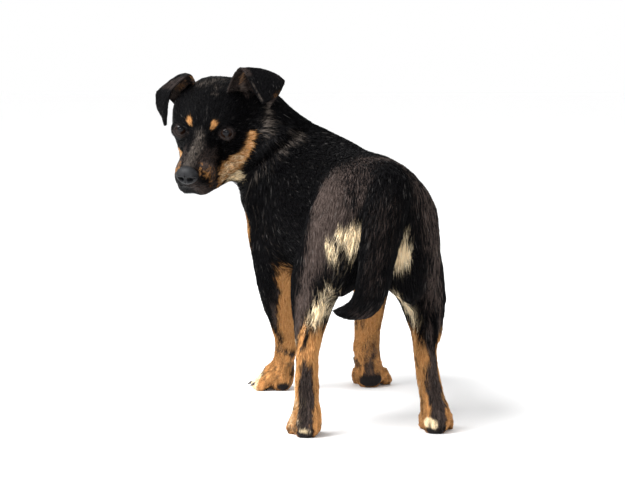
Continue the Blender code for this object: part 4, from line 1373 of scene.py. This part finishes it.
def make_coat_tree():
    tree = bpy.data.node_groups.new("coat of tufts", "GeometryNodeTree")
    tree.interface.new_socket("Geometry", in_out="OUTPUT", socket_type="NodeSocketGeometry")
    tree.interface.new_socket("Skin", in_out="INPUT", socket_type="NodeSocketGeometry")
    group_socket(tree, "Tufts", "NodeSocketCollection")
    group_socket(tree, "Crowding", "NodeSocketFloat", 1.0)
    group_socket(tree, "Hug", "NodeSocketFloat", 1.0)
    group_socket(tree, "Sway", "NodeSocketFloat", 0.22)
    group_socket(tree, "Seed", "NodeSocketInt", 1)
    group_socket(tree, "Hair", "NodeSocketMaterial")
    given = tree.nodes.new("NodeGroupInput").outputs

    scatter = tree.nodes.new("GeometryNodeDistributePointsOnFaces")
    density = sums(tree, "MULTIPLY", named(tree, "crowding"), given["Crowding"])
    linked(tree, scatter, Mesh=given["Skin"], Density=density, Seed=given["Seed"])
    seed = given["Seed"]
    points = scatter.outputs["Points"]
    points = keep(tree, points, "tone", spread(tree, 0.25, 1.0, seed, 11))
    points = keep(tree, points, "draw", spread(tree, *THRESHOLDS, seed, 17))
    points = keep(tree, points, "root_uv", named(tree, "OFBake", "FLOAT_VECTOR"), "FLOAT_VECTOR")

    # each tuft lies along the hair, give or take a little sway about the skin's normal
    turn = tree.nodes.new("FunctionNodeAxesToRotation")
    turn.primary_axis, turn.secondary_axis = "Z", "X"
    swayed = tree.nodes.new("ShaderNodeVectorRotate")
    angle = sums(tree, "MULTIPLY", spread(tree, -1.0, 1.0, seed, 23), given["Sway"])
    linked(
        tree, swayed, Vector=named(tree, "lie", "FLOAT_VECTOR"), Axis=scatter.outputs["Normal"],
        Angle=angle,
    )
    linked(tree, turn, Primary_Axis=scatter.outputs["Normal"], Secondary_Axis=swayed.outputs["Vector"])

    shapes = tree.nodes.new("GeometryNodeCollectionInfo")
    shapes.inputs["Separate Children"].default_value = True
    shapes.inputs["Reset Children"].default_value = True
    tree.links.new(given["Tufts"], shapes.inputs["Collection"])
    length = sums(tree, "MULTIPLY", named(tree, "hair_length"), spread(tree, 0.70, 1.25, seed, 31))
    breadth = sums(tree, "MULTIPLY", named(tree, "tuft_width"), spread(tree, 0.70, 1.35, seed, 47))
    height = sums(tree, "MULTIPLY", named(tree, "rise"), spread(tree, 0.55, 1.45, seed, 59))
    points = keep(tree, points, "height", height)
    size = tree.nodes.new("ShaderNodeCombineXYZ")
    linked(tree, size, X=length, Y=breadth, Z=height)
    place = tree.nodes.new("GeometryNodeInstanceOnPoints")
    place.inputs["Pick Instance"].default_value = True
    linked(
        tree, place, Points=points, Instance=shapes.outputs["Instances"],
        Rotation=turn.outputs["Rotation"], Scale=size.outputs["Vector"],
    )
    real = tree.nodes.new("GeometryNodeRealizeInstances")
    tree.links.new(place.outputs["Instances"], real.inputs["Geometry"])

    # drop to the nearest skin, then rise by the height within the coat
    here = tree.nodes.new("GeometryNodeInputPosition").outputs["Position"]
    samples = []
    for value in (here, named(tree, "outward", "FLOAT_VECTOR")):
        near = tree.nodes.new("GeometryNodeSampleNearestSurface")
        near.data_type = "FLOAT_VECTOR"
        linked(tree, near, Mesh=given["Skin"])
        tree.links.new(value, near.inputs["Value"])
        samples.append(near.outputs["Value"])
    rise = sums(tree, "MULTIPLY", named(tree, "height"), named(tree, "lift"))
    hugging = vector_sum(tree, "ADD", samples[0], vector_sum(tree, "SCALE", samples[1], scale=rise))
    blend = tree.nodes.new("ShaderNodeMix")
    blend.data_type = "VECTOR"
    tree.links.new(given["Hug"], blend.inputs[0])
    tree.links.new(here, blend.inputs[4])
    tree.links.new(hugging, blend.inputs[5])
    settle = tree.nodes.new("GeometryNodeSetPosition")
    linked(tree, settle, Geometry=real.outputs["Geometry"], Position=blend.outputs[1])

    # a tuft keeps part of its root's colour and takes the rest from the skin it lies over; each has
    # its own threshold, so that at the rim of a mark whole tufts are either of one colour or the other
    geometry = settle.outputs["Geometry"]
    for pack, names in COLOUR_PACKS.items():
        near = tree.nodes.new("GeometryNodeSampleNearestSurface")
        near.data_type = "FLOAT_VECTOR"
        linked(tree, near, Mesh=given["Skin"], Value=named(tree, pack, "FLOAT_VECTOR"))
        parts = tree.nodes.new("ShaderNodeSeparateXYZ")
        tree.links.new(near.outputs["Value"], parts.inputs["Vector"])
        for name, under in zip(names, parts.outputs):
            own = sums(tree, "MULTIPLY", named(tree, name), 1 - UNDERLYING)
            value = sums(tree, "MULTIPLY_ADD", under, UNDERLYING, own)
            if name not in ("bare", "streak"):
                leaning = sums(tree, "SUBTRACT", value, named(tree, "draw"))
                value = add_node(
                    tree, "ShaderNodeClamp", Value=sums(tree, "MULTIPLY_ADD", leaning, STEEPNESS, 0.5),
                ).outputs[0]
            geometry = keep(tree, geometry, name, value)

    # its patch of the colour map, about 0.003 across, at the root's own place
    patch = tree.nodes.new("ShaderNodeCombineXYZ")
    along = sums(tree, "SUBTRACT", named(tree, "along"), 0.5)
    across = sums(tree, "MULTIPLY", named(tree, "aside"), PATCH)
    linked(tree, patch, X=sums(tree, "MULTIPLY", along, PATCH), Y=across)
    flat = vector_sum(tree, "ADD", named(tree, "root_uv", "FLOAT_VECTOR"), patch.outputs["Vector"])
    geometry = keep(tree, geometry, "OFBake", flat, "FLOAT2", "CORNER")
    for name in (
        *COLOUR_PACKS, "draw", "root_uv", "lie", "outward", "crowding", "hair_length", "tuft_width",
        "rise", "height", "lift", "aside",
    ):
        drop = tree.nodes.new("GeometryNodeRemoveAttribute")
        linked(tree, drop, Geometry=geometry, Name=name)
        geometry = drop.outputs["Geometry"]
    finish = tree.nodes.new("GeometryNodeSetMaterial")
    linked(tree, finish, Geometry=geometry, Material=given["Hair"])
    done = tree.nodes.new("NodeGroupOutput")
    tree.links.new(finish.outputs["Geometry"], done.inputs["Geometry"])
    return tree


coat_tree = make_coat_tree()


def input_key(tree, name):
    return next(s.identifier for s in tree.interface.items_tree if s.in_out == "INPUT" and s.name == name)


def grow(name, ground, crowd, seed, hug=1.0, sway=0.22, material=None):
    """Runs the tree over a copy of the skin and keeps its result as a plain mesh."""
    piece = new_object(name, ground.data.copy())
    nodes = piece.modifiers.new("tufts", "NODES")
    nodes.node_group = coat_tree
    for key, value in (
        ("Tufts", tuft_shapes), ("Crowding", crowd), ("Hug", hug), ("Sway", sway), ("Seed", seed),
        ("Hair", material or coat_material),
    ):
        nodes[input_key(coat_tree, key)] = value
    baked(piece)
    return piece


def triangle_areas(obj):
    mesh = obj.data
    mesh.calc_loop_triangles()
    corners = np.empty(len(mesh.loop_triangles) * 3, np.int32)
    mesh.loop_triangles.foreach_get("vertices", corners)
    corners = corners.reshape(-1, 3)
    places = points_of(obj)[corners]
    return corners, np.linalg.norm(
        np.cross(places[:, 1] - places[:, 0], places[:, 2] - places[:, 0]), axis=1,
    ) / 2


TUFT_TRIANGLES = len(tuft_shapes.objects[0].data.polygons)
COAT_TRIANGLES = 1400000
MOST_TRIANGLES = 190000
hidden = np.zeros(len(skin_points))
for side, shape in EYE_SHAPES.items():
    local, share = round_opening(side, shape, sunk)
    near = np.linalg.norm(local, axis=1) < 0.02
    hidden = np.maximum(hidden, (share < 1.22) & (local[:, 2] > 0) & near)
nose_low, nose_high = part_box("nose")
nose_place = np.array((nose_low + nose_high) / 2)
hidden = np.maximum(hidden, np.linalg.norm(sunk - nose_place, axis=1) < 0.0125)
crowding = crowding * 1e4 * (1 - hidden) * (1 - 0.97 * masks["bare"]) * (1 - 0.55 * inner_ear)
crowding *= smoothstep(0.0006, 0.004, sunk[:, 2])
face_fine = np.exp(-((np.linalg.norm(head_points - np.array((0, -0.05, -0.03)), axis=1) / 0.045) ** 2))
hair_length = hair_length * (1 - 0.45 * face_fine) * (1 - 0.45 * socket)
store(skin, "hair_length", hair_length)
store(skin, "tuft_width", tuft_width * (1 - 0.25 * face_fine))
store(skin, "rise", coat_depth * 0.95 * (1 - 0.5 * face_fine) * (1 - 0.75 * groove))
store(skin, "lie", lie)
store(skin, "outward", normals_of(skin))
store(skin, "tans", np.stack([masks["tan"], masks["cream"], masks["brown"]], 1))
store(
    skin, "others",
    np.stack([masks["grey"], masks["bare"], streak * (1 - 0.5 * face_share(skin_points))], 1),
)
corners, areas = triangle_areas(skin)
wanted = float((areas * crowding[corners].mean(1)).sum())
scale = COAT_TRIANGLES / TUFT_TRIANGLES / wanted
print("tufts wanted", int(wanted), "scaled by", round(scale, 2))

coat_pieces = []
for number, (region, parts) in enumerate(REGIONS):
    chosen = np.isin(skin_part, [FLESH.index(part) for part in parts]).astype(float)
    store(skin, "crowding", crowding * chosen)
    expected = float((areas * (crowding * chosen)[corners].mean(1)).sum()) * scale
    count = max(1, math.ceil(expected * TUFT_TRIANGLES / MOST_TRIANGLES))
    for layer in range(count):
        piece = grow(f"coat_{region}_{layer + 1}", skin, scale / count, 100 * number + layer)
        coat_pieces.append(piece)
total = sum(len(piece.data.polygons) for piece in coat_pieces)
print("coat", {piece.name: len(piece.data.polygons) for piece in coat_pieces}, "in all", total)
store(skin, "crowding", crowding)

# %% [markdown]
# ## Eyes
# What shows of a dog's eye is a very dark brown iris round a black pupil, under a clear dome of
# cornea that is always wet. The eyeball is turned on its axis of sight, with a bulge for the
# cornea. The rings of the eye are painted by their distance from that axis, and a clear coat in the
# material gives the wet shine. A rim of dark bare skin closes each lid against the ball.

# %% Turn the eyeballs
GAZE = {"left": Vector((0.19, -0.90, 0.40)).normalized(), "right": Vector((0.25, -0.84, 0.49)).normalized()}
IRIS_ANGLE = math.radians(37)


def make_eyeball(side):
    rings, spokes = 48, 64
    bm = bmesh.new()
    turn = (HEAD_SPIN @ GAZE[side]).to_track_quat("Z", "Y").to_matrix()
    grid, angles = [], []
    for ring in range(1, rings):
        angle = math.pi * (ring / rings) ** 1.25
        bulge = 0.0006 * max(0.0, 1 - (angle / (IRIS_ANGLE * 1.25)) ** 2)
        radius = EYE_RADIUS - 0.0001 + bulge
        row = []
        for spoke in range(spokes):
            around = 2 * math.pi * spoke / spokes
            out = Vector(
                (
                    math.sin(angle) * math.cos(around), math.sin(angle) * math.sin(around),
                    math.cos(angle),
                )
            )
            row.append(bm.verts.new(EYE_PLACES[side] + turn @ out * radius))
            angles.append(angle)
        grid.append(row)
    front = bm.verts.new(EYE_PLACES[side] + turn @ Vector((0, 0, EYE_RADIUS + 0.0005)))
    back = bm.verts.new(EYE_PLACES[side] - turn @ Vector((0, 0, EYE_RADIUS)))
    for row, below_row in zip(grid, grid[1:]):
        for i in range(spokes):
            j = (i + 1) % spokes
            bm.faces.new((row[i], below_row[i], below_row[j], row[j]))
    for i in range(spokes):
        j = (i + 1) % spokes
        bm.faces.new((front, grid[0][i], grid[0][j]))
        bm.faces.new((back, grid[-1][j], grid[-1][i]))
    bmesh.ops.recalc_face_normals(bm, faces=bm.faces)
    mesh = bpy.data.meshes.new(f"eyeball_{side}")
    bm.to_mesh(mesh)
    bm.free()
    mesh.shade_smooth()
    made = new_object(f"eyeball_{side}", mesh)
    store(made, "from_sight", np.array([*angles, 0.0, math.pi]) / IRIS_ANGLE)
    return made


def ramp(tree, value, stops, interpolation="LINEAR"):
    node = tree.nodes.new("ShaderNodeValToRGB")
    node.color_ramp.interpolation = interpolation
    elements = node.color_ramp.elements
    while len(elements) < len(stops):
        elements.new(0.5)
    for element, (position, colour) in zip(elements, stops):
        element.position = position
        element.color = (*colour, 1)
    tree.links.new(value, node.inputs["Fac"])
    return node.outputs["Color"]


def make_eye_material():
    made, tree, shader = new_material("eye")
    ring = attribute(tree, "from_sight")
    colour = ramp(
        tree,
        sums(tree, "MULTIPLY", ring, 0.5),
        [
            (0.00, (0.001, 0.001, 0.002)),
            (0.24, (0.002, 0.002, 0.003)),
            (0.28, (0.006, 0.0028, 0.0017)),
            (0.42, (0.011, 0.0050, 0.0030)),
            (0.50, (0.004, 0.003, 0.003)),
            (0.60, (0.050, 0.036, 0.030)),
        ],
    )
    tree.links.new(colour, shader.inputs["Base Color"])
    shader.inputs["Roughness"].default_value = 0.10
    shader.inputs["Specular IOR Level"].default_value = 0.07
    shader.inputs["Coat Weight"].default_value = 0.14
    shader.inputs["Coat Roughness"].default_value = 0.02
    return made


eye_material = make_eye_material()
eyeballs = {side: make_eyeball(side) for side in SIDES}
for piece in eyeballs.values():
    piece.data.materials.append(eye_material)
print("eyeballs of", len(eyeballs["left"].data.polygons), "faces")


# %% Close the lids with a moist rim
def tube(bm, path, radius_at, sides=8, closed=False, flat=1.0, lean=None):
    """A tube of varying radius along points; a closed path joins its ends, an open one is capped."""
    count, rings = len(path), []
    for index, point in enumerate(path):
        ahead = path[(index + 1) % count] if closed or index + 1 < count else point
        behind = path[index - 1] if closed or index else point
        forward = (ahead - behind).normalized()
        guide = lean[index] if lean else Vector((0, 0, 1)) if abs(forward.z) < 0.9 else Vector((1, 0, 0))
        aside = forward.cross(guide).normalized()
        up = aside.cross(forward).normalized()
        radius = radius_at(index / max(count - 1, 1))
        ring = []
        for side in range(sides):
            angle = 2 * math.pi * side / sides
            offset = aside * math.cos(angle) * radius + up * math.sin(angle) * radius * flat
            ring.append(bm.verts.new(point + offset))
        rings.append(ring)
    pairs = list(zip(rings, rings[1:])) + ([(rings[-1], rings[0])] if closed else [])
    for one, two in pairs:
        for i in range(sides):
            j = (i + 1) % sides
            bm.faces.new((one[i], one[j], two[j], two[i]))
    if not closed:
        bm.faces.new(rings[0])
        bm.faces.new(rings[-1])
    return rings


def finished(bm, name, material):
    bmesh.ops.recalc_face_normals(bm, faces=bm.faces)
    mesh = bpy.data.meshes.new(name)
    bm.to_mesh(mesh)
    bm.free()
    mesh.shade_smooth()
    made = new_object(name, mesh)
    made.data.materials.append(material)
    return made


def make_rim_material():
    made, tree, shader = new_material("bare skin")
    where = tree.nodes.new("ShaderNodeTexCoord").outputs["Object"]
    mottle = add_node(tree, "ShaderNodeTexNoise", Vector=where, Scale=420.0, Detail=3.0)
    colour = ramp(tree, mottle.outputs["Fac"], [(0.3, (0.004, 0.003, 0.003)), (0.7, (0.016, 0.011, 0.010))])
    tree.links.new(colour, shader.inputs["Base Color"])
    shader.inputs["Roughness"].default_value = 0.45
    shader.inputs["Specular IOR Level"].default_value = 0.12
    return made


rim_material = make_rim_material()


def make_rim(side):
    shape, place = EYE_SHAPES[side], eye_frame(side)
    path, lean = [], []
    for step in range(56):
        angle = 2 * math.pi * step / 56
        reach = float(almond_radius(shape, np.array([angle]))[0])
        out = Vector((reach * math.cos(angle), reach * math.sin(angle), 0))
        out.z = math.sqrt(max((EYE_RADIUS + 0.0002) ** 2 - out.length_squared, 1e-8))
        path.append(place @ out)
        lean.append((place.to_3x3() @ out).normalized())
    bm = bmesh.new()
    tube(bm, path, lambda t: 0.00085, sides=8, closed=True, flat=0.75, lean=lean)
    return finished(bm, f"eye_rim_{side}", rim_material)


rims = {side: make_rim(side) for side in SIDES}
print("eye rims of", len(rims["left"].data.polygons), "faces")

# %% [markdown]
# ## Nose
# The nose leather is bare, black and pebbled, a rounded block with two comma-shaped nostrils that
# open forwards and slit out to the side, and a groove down the middle to the lip. A ball is pulled
# into that block point by point, and the nostrils are pressed deep into it.

# %% Shape the nose leather
NOSE_FRAME = HEAD @ Matrix.Translation((0, -0.0655, -0.0235)) @ Matrix.Rotation(math.radians(-12), 4, "X")
NOSE_RADII = Vector((0.0130, 0.0086, 0.0100))


def make_nose():
    bm = bmesh.new()
    bmesh.ops.create_icosphere(bm, subdivisions=6, radius=1)
    for vertex in bm.verts:
        x, y, z = vertex.co
        top = max(z, 0)
        wide = 1 - 0.10 * top - 0.16 * max(-z, 0)
        block = 1 + 0.06 * (abs(x) ** 2 + abs(z) ** 2) * (y < 0)
        place = Vector((x * NOSE_RADII.x * wide * block, y * NOSE_RADII.y * block, z * NOSE_RADII.z * block))
        depth = 0.0
        if y < 0.15:
            for sign in (1, -1):
                # the round opening, then the slit that curls out and up from it
                across, high = place.x * sign - 0.0049, place.z + 0.0034
                hole = math.exp(-((across / 0.0031) ** 2) - (high / 0.0025) ** 2)
                slit_x = min(max(place.x * sign, 0.0052), 0.0100)
                slit_z = -0.0036 + 0.5 * (slit_x - 0.0052)
                slit = math.exp(
                    -(((place.x * sign - slit_x) / 0.0012) ** 2) - ((place.z - slit_z) / 0.0009) ** 2
                )
                wing = math.exp(
                    -(((place.x * sign - 0.0080) / 0.0030) ** 2) - ((place.z - 0.0004) / 0.0028) ** 2
                )
                depth += 0.0062 * hole + 0.0020 * slit - 0.0007 * wing
            depth += 0.0010 * math.exp(-((place.x / 0.0007) ** 2)) * (place.z < 0.002)
        place.y += depth
        vertex.co = NOSE_FRAME @ place
    return finished(bm, "nose_leather", nose_material)


def make_nose_material():
    made, tree, shader = new_material("nose leather")
    where = tree.nodes.new("ShaderNodeTexCoord").outputs["Object"]
    pebbles = add_node(
        tree, "ShaderNodeTexVoronoi", {"feature": "DISTANCE_TO_EDGE"}, Vector=where, Scale=1150.0,
    )
    mottle = add_node(tree, "ShaderNodeTexNoise", Vector=where, Scale=300.0, Detail=3.0)
    colour = ramp(
        tree, mottle.outputs["Fac"], [(0.3, (0.0030, 0.0031, 0.0038)), (0.7, (0.0105, 0.0108, 0.0125))],
    )
    tree.links.new(colour, shader.inputs["Base Color"])
    shader.inputs["Roughness"].default_value = 0.50
    shader.inputs["Specular IOR Level"].default_value = 0.19
    edge = ramp(tree, pebbles.outputs["Distance"], [(0.0, (0, 0, 0)), (0.22, (1, 1, 1))])
    bump = add_node(tree, "ShaderNodeBump", Height=edge, Strength=0.30, Distance=0.00016)
    tree.links.new(bump.outputs["Normal"], shader.inputs["Normal"])
    return made


nose_material = make_nose_material()
nose = make_nose()
print("nose leather of", len(nose.data.polygons), "faces")

# %% [markdown]
# ## Claws
# The claws keep the places of their solids. They are dark horn, paler and slightly see-through only
# in thin slivers, so a streaked dark brown with a low roughness is enough.

# %% Finish the claws
def make_claw_material():
    made, tree, shader = new_material("claw horn")
    where = tree.nodes.new("ShaderNodeTexCoord").outputs["Object"]
    streaks = add_node(tree, "ShaderNodeTexNoise", Vector=where, Scale=700.0, Detail=3.0)
    colour = ramp(tree, streaks.outputs["Fac"], [(0.3, (0.012, 0.009, 0.008)), (0.75, (0.090, 0.066, 0.050))])
    tree.links.new(colour, shader.inputs["Base Color"])
    shader.inputs["Roughness"].default_value = 0.30
    bump = add_node(tree, "ShaderNodeBump", Height=streaks.outputs["Fac"], Strength=0.3, Distance=0.0002)
    tree.links.new(bump.outputs["Normal"], shader.inputs["Normal"])
    return made


claw_material = make_claw_material()
claws = [node for name, node in frame["nodes"].items() if "claw" in name]
for claw in claws:
    claw.data.materials.clear()
    claw.data.materials.append(claw_material)
print("claws", len(claws))

# %% [markdown]
# ## Floor, light and camera
# A black coat shows its shape only by what it reflects, so the studio is bright all round, with one
# broad soft light high on the left that draws the streaks of shine, and a small one beside the
# camera for the glint in the eyes. The floor is painted darker near the dog, a painted shade that
# deepens its shadows, and pales with distance, so it shows no horizon.

# %% Set the studio
def make_floor():
    bm = bmesh.new()
    bmesh.ops.create_grid(bm, x_segments=1, y_segments=1, size=30)
    mesh = bpy.data.meshes.new("floor")
    bm.to_mesh(mesh)
    bm.free()
    made = new_object("floor", mesh)
    material, tree, shader = new_material("pale floor")
    where = tree.nodes.new("ShaderNodeTexCoord").outputs["Object"]
    away = add_node(tree, "ShaderNodeVectorMath", {"operation": "LENGTH"}, Vector=where)
    # darker near the dog, a painted shade that deepens its shadow, and paler far off so the floor meets the
    # white world with no horizon
    pale = add_node(
        tree, "ShaderNodeMapRange", Value=away.outputs["Value"], From_Min=0.7, From_Max=3.0,
        To_Min=0.87, To_Max=0.998,
    )
    tree.links.new(pale.outputs[0], shader.inputs["Base Color"])
    shader.inputs["Roughness"].default_value = 0.75
    shader.inputs["Specular IOR Level"].default_value = 0.1
    made.data.materials.append(material)
    made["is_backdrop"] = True
    return made


def area_light(name, place, aim, watts, size):
    light = bpy.data.lights.new(name, "AREA")
    light.energy, light.size, light.shape = watts, size, "DISK"
    made = bpy.data.objects.new(name, light)
    made.location = place
    made.rotation_euler = (Vector(aim) - Vector(place)).to_track_quat("-Z", "Y").to_euler()
    bpy.context.scene.collection.objects.link(made)


make_floor()
world = bpy.data.worlds.new("studio")
world.use_nodes = True
world.node_tree.nodes["Background"].inputs["Color"].default_value = (1, 1, 1, 1)
world.node_tree.nodes["Background"].inputs["Strength"].default_value = 1.0
bpy.context.scene.world = world
area_light("key", (1.7, 0.9, 2.3), (0, 0, 0.15), 180, 2.0)
area_light("front", (0.75, 2.2, 0.85), (0, 0, 0.2), 9, 0.26)
bpy.context.scene.view_settings.view_transform = "Standard"

camera = bpy.data.objects.new("camera", bpy.data.cameras.new("camera"))
bpy.context.scene.collection.objects.link(camera)
VIEW_TURN, VIEW_PITCH = math.radians(170.42), math.radians(5.219)
level = Vector((math.sin(VIEW_TURN), -math.cos(VIEW_TURN), 0))
backward = level * math.cos(VIEW_PITCH) + Vector((0, 0, math.sin(VIEW_PITCH)))
camera.location = on_trunk(0.3987, 2.1576, 0.3826)
camera.rotation_euler = (-backward).to_track_quat("-Z", "Y").to_euler()
camera.data.sensor_width = 36
camera.data.lens = 113.5
bpy.context.scene.camera = camera
print("camera", round(camera.location.length, 2), "m away")

# %% [markdown]
# ## Fasten the pieces
# The skin stands for all the flesh and the ears, and each eyeball and the nose leather for its own
# solid. The claws are the solids themselves with a finish. A still model has one body, the root,
# and every new piece rides on it.

# %% Fasten everything to the frame
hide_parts(*FLESH)
for side in SIDES:
    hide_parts(f"eye_{side}")
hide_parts("nose")
for piece in [skin, *coat_pieces, *eyeballs.values(), *rims.values(), nose]:
    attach(piece, "root")
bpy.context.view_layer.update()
total = sum(len(o.data.polygons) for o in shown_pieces())
print("faces in all", total)
